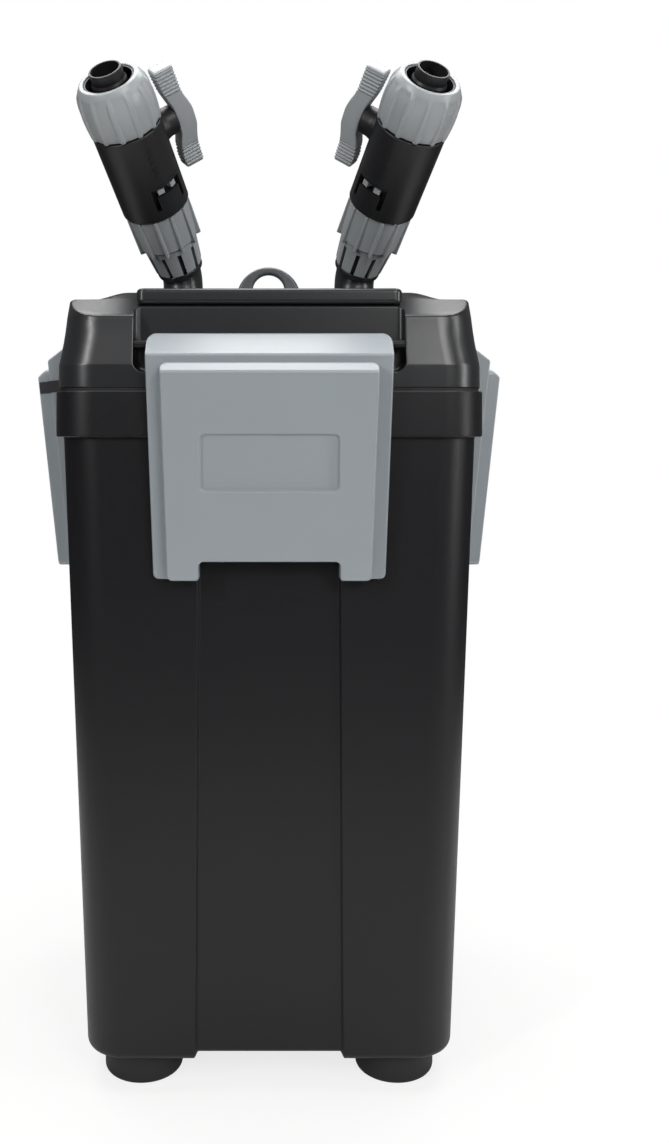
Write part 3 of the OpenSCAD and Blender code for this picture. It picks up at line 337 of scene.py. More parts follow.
finishes = {  # grain, depth and drift sizes in mm
    # Injection-moulded ABS with a satin spark finish: soft, slightly greyed reflections
    "satinBlackAbs": {"colour": "#191a1c", "drift": "#1d1e20", "grain": 2.4, "detail": 1, "rough": 0.315,
                      "roughDrift": 0.015, "relief": 0.15, "depth": 0.01},
    # Polypropylene body from a lightly textured tool: a broad dull sheen, deep black in the shade
    "texturedBlackPolypropylene": {"colour": "#0d0d10", "drift": "#101013", "grain": 1.4, "rough": 0.42,
                                   "depth": 0.03, "driftSize": 70, "specular": 0.3},
    # Solid grey ABS, drawn smooth: pale where it faces the light, with a silky gloss on its rounded edges
    "satinGreyAbs": {"colour": "#858b90", "drift": "#8b9195", "grain": 0.9, "rough": 0.34, "depth": 0.02,
                     "specular": 0.75},
    # The same grey ABS on the small valve parts, moulded a shade paler
    "paleGreyAbs": {"colour": "#909496", "drift": "#969a9c", "grain": 0.9, "rough": 0.36, "depth": 0.02},
    # Glass-filled nylon: matte black with a very fine pebble
    "matteBlackNylon": {"colour": "#161618", "drift": "#1b1b1d", "grain": 0.8, "rough": 0.44, "depth": 0.04,
                        "specular": 0.38},
    # Soft moulded rubber: dull, slightly dusty black
    "mouldedRubber": {"colour": "#161617", "drift": "#1e1e1f", "grain": 0.9, "rough": 0.66, "specular": 0.35},
    # Acetal plunger: dark grey, close to semi-gloss
    "darkGreyAcetal": {"colour": "#434548", "drift": "#494b4e", "grain": 1.2, "rough": 0.34, "depth": 0.02},
    # Matte vinyl strip: flat black film
    "matteVinylFilm": {"colour": "#18181a", "drift": "#1d1d1f", "grain": 0.7, "rough": 0.6, "depth": 0.02},
    # Ground stainless steel: cool grey with a soft streak-free shine
    "groundStainlessSteel": {"colour": "#b9bbbd", "drift": "#c4c6c8", "grain": 0.6, "rough": 0.22,
                             "roughDrift": 0.03, "depth": 0.01, "metal": 1},
    # Oil-blackened steel pin: nearly black, with a faint metal glint
    "blackenedSteel": {"colour": "#1b1b1d", "drift": "#242426", "grain": 0.7, "rough": 0.42, "depth": 0.01,
                       "metal": 0.6},
    # Grey moulded polypropylene of the media baskets: slightly waxy
    "waxyGreyPolypropylene": {"colour": "#5c5e63", "drift": "#64666b", "grain": 1.6, "rough": 0.42,
                              "depth": 0.03},
    # Inner mouldings in black polypropylene, left with the tool's plain matte
    "plainBlackPolypropylene": {"colour": "#2b2b2f", "drift": "#323236", "grain": 1.2, "rough": 0.52,
                                "depth": 0.03},
    # Slate-blue ABS riser tube: even, with a low gloss
    "slateBlueAbs": {"colour": "#4a5c6b", "drift": "#506272", "grain": 1.0, "rough": 0.36, "depth": 0.02},
    # Two-part epoxy over the motor coils: glossy black with slow waves
    "pottedBlackEpoxy": {"colour": "#17181a", "drift": "#1d1e20", "grain": 14, "rough": 0.2, "relief": 0.3,
                         "depth": 0.2},
    # Natural acetal impeller: milky off-white
    "naturalAcetal": {"colour": "#d9d9d1", "drift": "#d2d1c8", "grain": 1.2, "rough": 0.32, "depth": 0.02},
    # Ground zirconia shaft: ivory and glossy
    "zirconiaCeramic": {"colour": "#e6e3db", "drift": "#dedbd2", "grain": 0.5, "rough": 0.14, "depth": 0.005,
                        "ior": 2.1},
    # Sintered ferrite magnet: dark grey with fine lighter grains
    "sinteredFerrite": {"colour": "#3a3a3e", "drift": "#434347", "grain": 0.4, "rough": 0.55, "depth": 0.02,
                        "fleck": "#5a5a5f", "fleckSize": 0.5},
}
# each foam's pore colour is painted shade for its hollows; the other colour is the foam's own
foams = {
    "coarseSlateFoam": {"colour": "#3b4c66", "poreShade": "#141b26", "cell": 3.2},  # 10 pores to the inch
    "mediumOchreFoam": {"colour": "#cdb98f", "poreShade": "#7a6844", "cell": 2.0},  # 20 pores to the inch
    "fineWhiteFoam": {"colour": "#ebe8de", "poreShade": "#b5b0a0", "cell": 1.1},  # 35 pores to the inch
}
materials = {name: mouldedFinish(name, look) for name, look in finishes.items()}
materials.update({name: foamFinish(name, look) for name, look in foams.items()})
print("Materials made:", len(materials))


# Tub

tubSizes = {
    "base": 16, "halfBase": 90.4, "flare": 0.034228, "cornerRadius": 20, "underEdge": 4, "underArch": 3,
    "collar": 318.3, "rim": 340.3, "halfCollar": 104.05, "collarEase": 0.8,
    "panelHalf": 33, "panelHalfBase": 35.5, "panelDepth": 2, "stepHalf": 1.1, "wall": 4, "floor": 5,
    "levels": (26, 34, 100, 180, 260),
}


def tubHalf(z):
    return tubSizes["halfBase"] + tubSizes["flare"] * (z - tubSizes["base"])


def tubRing(half, radius, z, depth=0.0, arch=0.0):
    s = tubSizes
    share = (z - s["base"]) / (s["rim"] - s["base"])
    step = s["panelHalfBase"] + (s["panelHalf"] - s["panelHalfBase"]) * share
    side = []
    for end in (-1, 1):
        for along in (1, 0.6, 0.3, 0, -0.3, -0.6, -1)[::-end]:
            sunk = easedStep(0.5 - along / 2)
            side.append((half - depth * sunk, end * (step + along * s["stepHalf"]), z + arch * sunk))
    side += [(x, y, z) for x, y in arc(half - radius, half - radius, radius, 0, 90, 12)]
    ring = []
    for quarter in range(4):
        ring += [tuple(quarterTurn(quarter) @ Vector(place)) for place in side]
    return ring


def makeTub():
    s = tubSizes
    base, edge, depth = s["base"], s["underEdge"], s["panelDepth"]
    middle, middleRadius = 60, 10  # the flat middle of the floor
    rings = [tubRing(middle, middleRadius, base),
             tubRing(s["halfBase"] - edge - 5, s["cornerRadius"] - 4, base, arch=0.2)]
    for turn in range(0, 91, 15):
        angle = math.radians(turn)
        inset, z = edge * (1 - math.sin(angle)), base + edge * (1 - math.cos(angle))
        arch = s["underArch"] * (1 - 0.5 * turn / 90)
        rings.append(tubRing(tubHalf(z) - inset, s["cornerRadius"] - inset, z, depth, arch))
    for z in s["levels"] + (s["collar"] - 1.2,):
        rings.append(tubRing(tubHalf(z), s["cornerRadius"], z, depth))
    under, ease = s["collar"], s["collarEase"]
    rings.append(tubRing(tubHalf(under) + 0.15, s["cornerRadius"], under - 0.3, depth))
    rings.append(tubRing(tubHalf(under) + 0.6, s["cornerRadius"], under))
    for level, way in ((under, 1), (s["rim"], -1)):  # the collar's lower and upper edge, both rounded
        for turn in range(0, 91, 30)[::way]:
            angle = math.radians(turn)
            inset, lift = ease * (1 - math.sin(angle)), ease * (1 - math.cos(angle))
            rings.append(tubRing(s["halfCollar"] - inset, s["cornerRadius"] + 1 - inset, level + way * lift))
    inner = tubHalf(s["rim"]) - s["wall"]
    rings.append(tubRing(inner + 0.6, s["cornerRadius"] - s["wall"] + 0.6, s["rim"]))
    rings.append(tubRing(inner, s["cornerRadius"] - s["wall"], s["rim"] - 0.6))
    floor = base + s["floor"]
    rings.append(tubRing(tubHalf(floor) - s["wall"], s["cornerRadius"] - s["wall"], floor))
    rings.append(tubRing(middle, middleRadius, floor))
    return smoothed(lofted("tubShell", rings), 28)


placed(makeTub(), "housing", "texturedBlackPolypropylene", "tub_black", "tub")
print("Tub shaped")


# Lid

lidSizes = {
    "low": 341.7, "half": 102.85, "skirtTop": 352.8, "radius": 20, "plateau": 390,
    "towerEdge": 376.5, "halfTower": 99.35, "shoulder": 385.5, "slopeRun": 15, "crownRun": 11,
    "flankLevels": (358, 364, 369, 372), "bendFrom": 373, "bendStep": 0.75,
    "crest": ((385.1, 97.3), (385.5, 95.9)),
    "plateauHalf": 72, "flank": 14, "blend": 2.0, "topCorner": 3,
    "notchHalf": 64.7, "notchFloor": 349.3, "notchBack": 91.5, "notchRadius": 5, "notchInner": 3,
    "beadHalf": 64.3, "beadLow": 382.3, "beadReach": 93.5, "beadCorner": 4, "beadEase": 2.2, "edge": 0.7,
    "port": 48, "bossRadius": 15.05, "bossHeight": 2, "portBore": 11.1, "rodBore": 5.1,
    "skirtIn": 99.85, "skirtInTop": 345.2, "bayIn": 88.5, "bayTop": 371.7, "loftWide": 60, "loftDeep": 85.5,
    "roof": 386.5, "boreTop": 400, "boreReach": 120, "portRing": 15, "glandX": 80, "glandZ": 362.3,
    "glandSeat": 103.25, "glandBoss": 9, "glandBore": 5.05, "pinZ": 362.5, "pinReach": 98.5,
    "pinHalf": 70.8, "pinBore": 2.05,
    "screwAt": 87, "screwBore": 1.55, "screwTop": 357,
}


def makeLid():
    s = lidSizes
    far = 200  # so wide or deep that it trims nothing
    inShell, pastTop, pastSide = 380, 420, 130  # the hidden ends of what is joined on or cut away

    def halfAt(z):
        if z <= s["skirtTop"]:
            return s["half"]
        share = (z - s["skirtTop"]) / (s["towerEdge"] - s["skirtTop"])
        return s["half"] + (s["halfTower"] - s["half"]) * share - 0.35 * math.sin(math.pi * min(1, share))

    def depthAt(z):  # the slope and crown that the front and back lean back on
        back = s["halfTower"] - s["slopeRun"] * (z - s["towerEdge"]) / (s["shoulder"] - s["towerEdge"])
        if z > s["shoulder"]:
            rise = (z - s["shoulder"]) / (s["plateau"] - s["shoulder"])
            back = s["halfTower"] - s["slopeRun"] - s["crownRun"] * rise
        return back

    def ring(z, wide=far, lower=0.0):
        half = halfAt(min(z, s["towerEdge"] + 12)) - lower
        corner = max(1.0, s["radius"] - lower)
        deep = depthAt(z) if z > s["towerEdge"] - 4 else far
        places = []
        for quarter in range(4):
            for step in range(17):
                turn = math.radians(90 * quarter + 90 * step / 16)
                across, back = abs(math.cos(turn)), abs(math.sin(turn))
                x = softMin(half - corner * (1 - across), wide - s["topCorner"] * (1 - across), s["blend"])
                y = softMin(half - corner * (1 - back), deep - s["topCorner"] * (1 - back), s["blend"])
                places.append((x * (1, -1, -1, 1)[quarter], y * (1, 1, -1, -1)[quarter], z))
        return places

    low = s["low"]
    rings = [ring(low, lower=0.5), ring(low + 0.2, lower=0.15), ring(low + 0.5), ring(s["skirtTop"] - 0.6)]
    rings += [ring(z) for z in (s["skirtTop"] + 0.6,) + s["flankLevels"]]
    rings += [ring(s["bendFrom"] + s["bendStep"] * step) for step in range(16)]
    rings += [ring(z, wide) for z, wide in s["crest"]]
    for step in range(1, 15):
        share = step / 14
        wide = s["plateauHalf"] + s["flank"] * (1 - share)
        rings.append(ring(s["shoulder"] + (s["plateau"] - s["shoulder"]) * easedStep(share), wide))
    lid = lofted("lidShell", rings)
    rings = []
    inner = s["notchInner"]
    fillet = [(inner * (1 - math.sin(turn)), s["notchBack"] + inner * (1 - math.cos(turn)))
              for turn in [math.radians(22.5 * step) for step in range(5)]]
    for inset, reach in fillet + [(0, pastSide)]:  # the notch widens over a small fillet from its back face
        half, floor, corner = s["notchHalf"] - inset, s["notchFloor"] + inset, s["notchRadius"] - inset
        outline = [(-half, pastTop)] + arc(-half + corner, floor + corner, corner, 180, 270, 8)
        outline += arc(half - corner, floor + corner, corner, 270, 360, 8) + [(half, pastTop)]
        rings.append([(reach, across, up) for across, up in outline])
    notch = lofted("notch", rings)
    for quarter in range(4):
        cutBy(lid, copied(notch, "notchCut", quarterTurn(quarter)))
    bpy.data.objects.remove(notch)
    joinedWith(lid, roundedBar("bead", s["beadHalf"], s["beadReach"], s["beadCorner"], s["beadLow"],
                               s["plateau"] + 0.03, s["beadEase"]))
    bossTop = s["plateau"] + s["bossHeight"]
    outline = [(0.01, inShell), (s["bossRadius"], inShell)]
    outline += arc(s["bossRadius"] - 0.5, bossTop - 0.5, 0.5, 0, 90, 4) + [(0.01, bossTop)]
    for side in (-1, 1):
        joinedWith(lid, lathed("boss", outline, 64, Matrix.Translation((side * s["port"], 0, 0))))
    towardsBack = Matrix.Rotation(math.radians(-90), 4, "X")

    def rod(radius, low, high, x=0, y=0, turn=None, steps=48):  # a plain cylinder on its own axis
        shape = pulled("rod", arc(0, 0, radius, 0, 360 - 360 / steps, steps - 1), low, high, turn)
        return turned(shape, Matrix.Translation((x, y, s["glandZ"] if turn else 0)))

    joinedWith(lid, rod(s["glandBoss"], s["notchBack"] - 2, s["glandSeat"], x=s["glandX"], turn=towardsBack))
    for half, deep, radius, foot, top in ((s["skirtIn"], s["skirtIn"], 17, low - 1, s["skirtInTop"]),
                                          (s["bayIn"], s["bayIn"], 8, low - 2, s["bayTop"]),
                                          (s["loftWide"], s["loftDeep"], 6, s["bayTop"] - 1, s["roof"])):
        outline = roundedSquare(half, deep, radius)
        cutBy(lid, lofted("hollow", [atHeight(outline, z) for z in (foot, top)]))
    for side in (-1, 1):
        cutBy(lid, rod(s["portRing"], s["bayTop"] - 1.5, s["roof"] - 0.02, x=side * s["port"]))
        cutBy(lid, rod(s["portBore"], s["roof"] - 1, s["boreTop"], x=side * s["port"]))
    cutBy(lid, rod(s["rodBore"], s["roof"] - 1, s["boreTop"], steps=32))
    cutBy(lid, rod(s["glandBore"], s["bayIn"] - 1, s["boreReach"], x=s["glandX"], turn=towardsBack, steps=32))
    for quarter in range(4):
        pin = pulled("pin", arc(s["pinReach"], s["pinZ"], s["pinBore"], 4, 349, 23),
                     -s["pinHalf"], s["pinHalf"], seenFromSide)
        cutBy(lid, turned(pin, quarterTurn(quarter)))
        x, y = ((1, 1), (-1, 1), (-1, -1), (1, -1))[quarter]
        cutBy(lid, rod(s["screwBore"], low, s["screwTop"], x * s["screwAt"], y * s["screwAt"], steps=24))
    edgesEased(lid, s["edge"], 50, 2)
    return smoothed(lid, 35)


placed(makeLid(), "housing", "satinBlackAbs", "lid_black", "lid")
print("Lid shaped")


# Clips

clipSizes = {
    "halfTop": 58.2, "halfFoot": 55.1, "top": 367.7, "foot": 251, "slopeLow": 357, "reach": 113.5, "lean": 6,
    "back": 98.4, "ridge": 1.3, "corner": 4.5, "footCorner": 2.7, "margin": 7, "edge": 0.9, "gap": 0.4,
    "plateTop": 353, "plateRise": 2.4, "plateBevel": 4.2, "plateOut": 7.2, "plateCorner": 3,
    "fingerHalf": 33.15, "fingerHigh": 9, "fingerCorner": 2.2, "fingerFoot": 1.3,
    "recessHalfWide": 32.65, "recessHalfHigh": 13.6, "recessZ": 306.5, "recessCorner": 2.7,
    "recessProfile": [(-1.8, 1.5), (-1.72, 1.05), (-1.45, 0.75), (-1.0, 0.55), (-0.55, 0.38), (-0.25, 0.18),
                      (-0.07, -0.1), (0, -0.5), (3, -1.0)],
    "hookZ": 317.6, "hookFall": 0.4, "collarFace": 104.5, "innerLow": 354, "innerSlope": 358.6,
    "innerTop": 365.9, "pinReach": 98.5, "pinZ": 362.5, "barrel": 3.9, "barrelHalf": 53, "pinBore": 2.15,
    "boreHalf": 70, "wall": 2.8, "rib": 1.4, "pocketUnderHook": 5,
}


def clipFace(z):
    return clipSizes["reach"] - math.tan(math.radians(clipSizes["lean"])) * (clipSizes["slopeLow"] - z)


def clipHalf(z):
    s = clipSizes
    return s["halfFoot"] + (s["halfTop"] - s["halfFoot"]) * (z - s["foot"]) / (s["top"] - s["foot"])


def clipFront(halfTop, halfFoot, top, corner, footCorner):
    s = clipSizes
    foot, finger, high = s["foot"], s["fingerHalf"], s["foot"] + s["fingerHigh"]
    small, toe = s["fingerCorner"], s["fingerFoot"]
    outline = arc(halfTop - corner, top - corner, corner, 0, 90, 8)
    outline += arc(-halfTop + corner, top - corner, corner, 90, 180, 8)
    outline += arc(-halfFoot + footCorner, foot + footCorner, footCorner, 180, 270, 6)
    outline += arc(-finger - toe, foot + toe, toe, 270, 360, 4)
    outline += arc(-finger + small, high - small, small, 180, 90, 6)
    outline += arc(finger - small, high - small, small, 90, 0, 6)
    outline += arc(finger + toe, foot + toe, toe, 180, 270, 4)
    outline += arc(halfFoot - footCorner, foot + footCorner, footCorner, 270, 360, 6)
    return outline


def makeClip():
    s = clipSizes
    foot, plateZ, out = s["foot"], s["plateTop"], s["plateOut"]
    across, inside, outside = 80, 60, 140  # how far the outlines reach past the clip

    def profile(name, section):
        return pulled(name, section, -across, across, seenFromSide)

    clip = profile("clip", [
        (s["back"] - s["ridge"], s["top"]), (s["back"] + s["ridge"], s["top"]), (s["reach"], s["slopeLow"]),
        (clipFace(foot), foot), (tubHalf(foot) + s["gap"], foot),
        (tubHalf(s["hookZ"]) + s["gap"], s["hookZ"] - s["hookFall"]), (s["collarFace"], s["hookZ"]),
        (s["collarFace"], s["innerLow"]), (s["pinReach"], s["innerSlope"]),
        (s["pinReach"] - 2, s["innerTop"])])
    front = clipFront(s["halfTop"], s["halfFoot"], s["top"], s["corner"], s["footCorner"])
    commonWith(clip, pulled("frame", front, inside, outside, faceOutwards))
    plate = profile("plate", [
        (clipFace(plateZ) - 3, plateZ), (clipFace(plateZ) + s["plateRise"], plateZ),
        (clipFace(plateZ - s["plateBevel"]) + out, plateZ - s["plateBevel"]),
        (clipFace(foot) + out, foot), (clipFace(foot) - 3, foot)])
    front = clipFront(clipHalf(plateZ) - s["margin"], s["halfFoot"] - s["margin"], plateZ, s["plateCorner"],
                      s["footCorner"])
    commonWith(plate, pulled("front", front, inside, outside, faceOutwards))
    joinedWith(clip, plate)
    barrel = arc(s["pinReach"], s["pinZ"], s["barrel"], 4, 349, 23)
    joinedWith(clip, pulled("barrel", barrel, -s["barrelHalf"], s["barrelHalf"], seenFromSide))
    bore = arc(s["pinReach"], s["pinZ"], s["pinBore"], 0, 345, 23)
    cutBy(clip, pulled("pinBore", bore, -s["boreHalf"], s["boreHalf"], seenFromSide))
    half = s["halfFoot"] - s["margin"] - s["wall"]
    low, high = foot + s["fingerHigh"] + s["wall"], s["hookZ"] - s["pocketUnderHook"]
    rib, deep = s["rib"], out - s["wall"]
    for side in (-1, 1):  # hollow behind the plate, either side of a middle rib
        rings = []
        for atLow, atHigh in ((inside, inside), (clipFace(low) + deep, clipFace(high) + deep)):
            corners = ((rib, atLow, low), (half, atLow, low), (half, atHigh, high), (rib, atHigh, high))
            rings.append([(reach, side * right, z) for right, reach, z in corners])
        cutBy(clip, lofted("pocket", rings))
    rings = []
    for depth, inset in s["recessProfile"]:  # from its floor out, softly rounded at the foot and the lip
        corners = roundedSquare(s["recessHalfWide"] - inset, s["recessHalfHigh"] - inset,
                                max(0.8, s["recessCorner"] - inset), 6)
        rings.append([(clipFace(s["recessZ"] + up) + out + depth, right, s["recessZ"] + up)
                      for right, up in corners])
    cutBy(clip, lofted("recess", rings))
    edgesEased(clip, s["edge"], 34)
    return smoothed(clip, 30)


clip = makeClip()
for quarter, name in enumerate(("right", "rear", "left", "front")):
    piece = copied(clip, name + "ClipBody", quarterTurn(quarter))
    placed(piece, name + "_clip", "satinGreyAbs", "grey_plastic", name + "_clip")
bpy.data.objects.remove(clip)
print("Clips shaped")


# Hose valves

valveSizes = {
    "elbow": {"port": 48, "radius": 11, "wall": 3, "foot": 347.2, "bendStart": 401, "bendRadius": 16,
              "bend": 47, "splay": 19.6, "tail": 55.8, "collarRadius": 12.8, "collarLow": -1.6,
              "collarHigh": 1.7, "ease": 0.6, "nutAt": 104, "upright": (380, 390.5, 396),
              "tailSteps": (4, 20, 40)},
    "collet": {"bore": 11.2, "low": 2.2, "tip": 13.4, "waist": 15.1, "root": 16.3, "top": 17.2, "fin": 18.0,
               "fins": 12, "finHalf": 0.7, "finFoot": 18.95, "shoulder": 20, "bandLow": 21.2, "end": 42.4,
               "slots": 10, "slotHalf": 1.15, "slotTop": 16.5, "finAt": 16,
               "finsFrom": 18.8, "levels": (18.9, 19.1, 19.4, 19.7)},
    "body": {"radius": 18.2, "low": 42.6, "high": 91, "neck": 14.15, "neckTop": 104, "bore": 11.35,
             "flare": [(0.01, 12), (8.6, 12), (8.5, 16.2), (8.2, 17.6), (7.8, 18.8)],
             "stemAt": 82, "stemTurn": 45, "boss": 7.4, "bossLow": 20.4, "bossEnd": 25.2, "edge": 0.9,
             "levels": (60, 75), "boreFrom": 30, "boreTo": 110, "windowFrom": 28, "windowTo": 90,
             "windowLow": 48.5, "slotLow": 56.3, "slotHigh": 61, "leg": 2.4, "windowDepth": 4.4,
             "tickAt": 48, "tickLow": 68, "tickPitch": 3.4, "tickHigh": 1.5, "ticks": 5, "tickHalf": 0.06,
             "toothApart": 0.24, "toothHalf": 0.11},
    "lever": {"half": 4.25, "corner": 0.8, "foot": -27.3, "head": 28.6, "ribPitch": 1.9, "ribDepth": 0.7,
              "ribsUp": (14.2, 27.5), "ribsDown": (-26.6, -15.2), "hub": 27, "round": 1.1,
              "stemHole": 4.1, "stemFrom": 20, "stemTo": 31,
              "outer": [(-27.3, 5.7), (-14.4, 6.0), (-11, 6.9), (-5.8, 8.5), (2.8, 8.6), (8, 7.3),
                        (12.2, 5.8), (28.6, 5.2)],
              "inner": [(-27.3, -4.6), (-21, -5.1), (-13.7, -3.9), (-7.6, -1.5), (6.2, -1.5), (11.1, -2.9),
                        (16, -4.4), (25.5, -5.6), (28.6, -5.5)]},
    "nut": {"low": 91.2, "bore": 14.35, "base": 18.7, "belly": 19.6,
            "dome": [(0.05, 106), (0.2, 108), (0.5, 110), (0.85, 111.5), (1.05, 112.2), (1.35, 112.9),
                     (1.75, 113.6), (2.2, 114.4), (2.7, 115.3), (3.25, 116.2)],
            "rim": 15.0, "top": 118, "mouth": 13.1, "mouthFloor": 108.4, "flutes": 12, "ridgeHalf": 0.7,
            "ridgeFall": 1.0, "ridgeAt": 17.5, "fluteDepth": 0.95, "fluteTop": 115.4, "scallop": 0.45},
    "tail": {"bore": 6.5, "lip": 8.35, "tube": 7.85, "barb": 9.2, "barbLow": 113.6, "barbHigh": 116.6,
             "top": 123, "seat": 14.1, "seatLow": 104.2, "seatHigh": 106.5, "base": 11.1, "baseLow": 93.3,
             "mouthBore": 7.2, "sleeve": 12.95, "sleeveInside": 12.1, "sleeveTop": 117.3},
}


def tailFrame(side):  # from millimetres on the straight tail, with Z along it, into the frame's millimetres
    joint = joints[side + "_hose_nut_turn"]
    along = Vector(joint["axis"]).normalized()
    along = along if along.z > 0 else -along
    level = Vector((0, 0, 1)).cross(along).normalized()
    back = along.cross(level)
    start = Vector(joint["pos_m"]) / mm - along * valveSizes["elbow"]["nutAt"]
    return Matrix.Translation(start) @ Matrix((level, back, along)).transposed().to_4x4()


def stemWay(side):  # the valve's stem points half inwards and half back
    inwards, turn = 1 if side == "left" else -1, math.radians(valveSizes["body"]["stemTurn"])
    return Vector((inwards * math.cos(turn), math.sin(turn), 0))


def stemFrame(side):  # X up the valve, Y out along the stem, Z across the lever
    stem, up = stemWay(side), Vector((0, 0, 1))
    turn = Matrix((up, stem, up.cross(stem))).transposed().to_4x4()
    return tailFrame(side) @ Matrix.Translation((0, 0, valveSizes["body"]["stemAt"])) @ turn


def reshaped(piece, rule):  # moves every corner by a rule of radius, turn and height
    for vertex in piece.data.vertices:
        radius, turn = math.hypot(vertex.co.x, vertex.co.y), math.atan2(vertex.co.y, vertex.co.x)
        radius, up = rule(radius, turn, vertex.co.z)
        vertex.co = Vector((radius * math.cos(turn), radius * math.sin(turn), up))
    return piece


def offRidge(turn, count, radius):  # how far round from the middle of the nearest ridge
    pitch = 2 * math.pi / count
    return abs((turn / pitch) % 1 - 0.5) * pitch * radius


def smoothLine(points, x, blur=1.6):  # the height at x of a rounded line through points
    def straight(at):
        for (x0, y0), (x1, y1) in zip(points, points[1:]):
            if at <= x1:
                return y0 + (y1 - y0) * max(0, at - x0) / (x1 - x0)
        return points[-1][1]
    return sum(straight(x + blur * step / 3) for step in range(-3, 4)) / 7


def makeElbow(side):
    s = valveSizes["elbow"]
    out = -1 if side == "left" else 1
    splay = Matrix.Rotation(math.radians(out * s["splay"]), 4, "Z")
    stand = Matrix.Translation((out * s["port"], 0, 0)) @ splay
    path = [(0, z, 0) for z in (s["foot"],) + s["upright"] + (s["bendStart"],)]
    path += [(-s["bendRadius"] * (1 - math.cos(math.radians(turn))),
              s["bendStart"] + s["bendRadius"] * math.sin(math.radians(turn)), turn)
             for turn in [s["bend"] * step / 10 for step in range(1, 11)]]
    turn = math.radians(s["bend"])
    endY, endZ = path[-1][:2]
    path += [(endY - math.sin(turn) * far, endZ + math.cos(turn) * far, s["bend"])
             for far in s["tailSteps"] + (s["tail"],)]
    rings = []
    for y, z, lean in path:
        tilt = Matrix.Translation((0, y, z)) @ Matrix.Rotation(math.radians(lean), 4, "X")
        rings.append([tuple(stand @ tilt @ Vector((s["radius"] * math.cos(a), s["radius"] * math.sin(a), 0)))
                      for a in [2 * math.pi * step / 64 for step in range(64)]])
    elbow = lofted("elbow", rings)
    inward = s["wall"] / s["radius"]
    coreRings = []
    for ring in rings:
        middle = sum((Vector(place) for place in ring), Vector()) / len(ring)
        coreRings.append([tuple(Vector(place).lerp(middle, inward)) for place in ring])
    core = lofted("bore", coreRings)
    for corners, end, before in ((core.data.vertices[:64], 0, 1), (core.data.vertices[-64:], -1, -2)):
        past = (Vector(rings[end][0]) - Vector(rings[before][0])).normalized()
        for vertex in corners:  # the bore runs out past both ends of the tube
            vertex.co += past
    cutBy(elbow, core)
    ease = s["ease"]
    rim = arc(s["collarRadius"] - ease, s["collarLow"] + ease, ease, 270, 360, 4)
    rim += arc(s["collarRadius"] - ease, s["collarHigh"] - ease, ease, 0, 90, 4)
    collar = lathed("collar", [(10, s["collarLow"])] + rim + [(10, s["collarHigh"])], 96, tailFrame(side))
    return smoothed(joinedWith(elbow, collar), 40)


def makeCollet():
    s = valveSizes["collet"]
    low, tip, waist, shoulder, root, top = (s[name] for name in (
        "low", "tip", "waist", "shoulder", "root", "top"))
    outline = [(s["bore"], low + 0.3), (s["bore"] + 0.3, low)] + arc(tip - 0.7, low + 0.7, 0.7, 270, 350, 4)
    outline += [(tip + (waist - tip) * share, low + (shoulder - low) * share) for share in (0.35, 0.7, 0.93)]
    outline += [(waist, z) for z in s["levels"] + (shoulder,)]
    outline += [(waist + 0.35, shoulder + 0.15), (root - 0.3, s["bandLow"] - 0.3), (root, s["bandLow"])]
    outline += [(root + (top - root) * share, s["bandLow"] + (s["end"] - 0.6 - s["bandLow"]) * share)
                for share in (0.25, 0.5, 0.75, 1)]
    outline += [(top - 0.6, s["end"]), (s["bore"], s["end"])]
    collet = lathed("collet", outline, 288)

    def fins(radius, turn, up):
        if radius < s["bore"] + 1 or up < s["finsFrom"] or up > s["end"] - 0.1:
            return radius, up
        off = offRidge(turn, s["fins"], s["finAt"])
        fin = easedStep((s["finHalf"] + 0.35 - off) / 0.5) * easedStep((up - s["finFoot"]) / 0.4)
        return radius + max(0, s["fin"] - radius) * fin, up

    reshaped(collet, fins)
    half = s["slotHalf"]
    slot = pulled("slot", [(9, -half), (22, -half), (22, half), (9, half)], -2, s["slotTop"])
    turns = [2 * math.pi * (step + 0.5) / s["slots"] for step in range(s["slots"])]
    slots = merged("slots", *[copied(slot, "slotCut", Matrix.Rotation(turn, 4, "Z")) for turn in turns])
    bpy.data.objects.remove(slot)
    return smoothed(cutBy(collet, slots), 40)


def makeNut():
    s = valveSizes["nut"]
    low, base, belly, mouth, top = (s[name] for name in ("low", "base", "belly", "mouth", "top"))
    outline = [(s["bore"], low + 0.4), (s["bore"] + 0.4, low), (base - 0.6, low), (base - 0.15, low + 0.3),
               (base, low + 0.9)]
    outline += [(base + (belly - base) * math.sin(math.pi * share), low + 24 * share)
                for share in (0.08, 0.2, 0.35, 0.5)]
    outline += [(belly - fall, z) for fall, z in s["dome"]]
    outline += arc(s["rim"] - 0.3, top - 1.0, 1.0, 35, 90, 4)
    outline += [(mouth + 0.5, top), (mouth + 0.1, top - 0.15), (mouth, top - 0.5), (mouth, s["mouthFloor"]),
                (s["bore"], s["mouthFloor"])]
    nut = lathed("nut", outline, 288)

    def flutes(radius, turn, up):
        if radius < s["bore"] + 1.5 or up > s["fluteTop"]:
            return radius, up
        valley = easedStep((offRidge(turn, s["flutes"], s["ridgeAt"]) - s["ridgeHalf"]) / s["ridgeFall"])
        radius -= s["fluteDepth"] * valley * easedStep((s["fluteTop"] - up) / 3.2)
        return radius, up + s["scallop"] * valley * easedStep((low + 3 - up) / 3)

    return smoothed(reshaped(nut, flutes), 45, weighted=False)


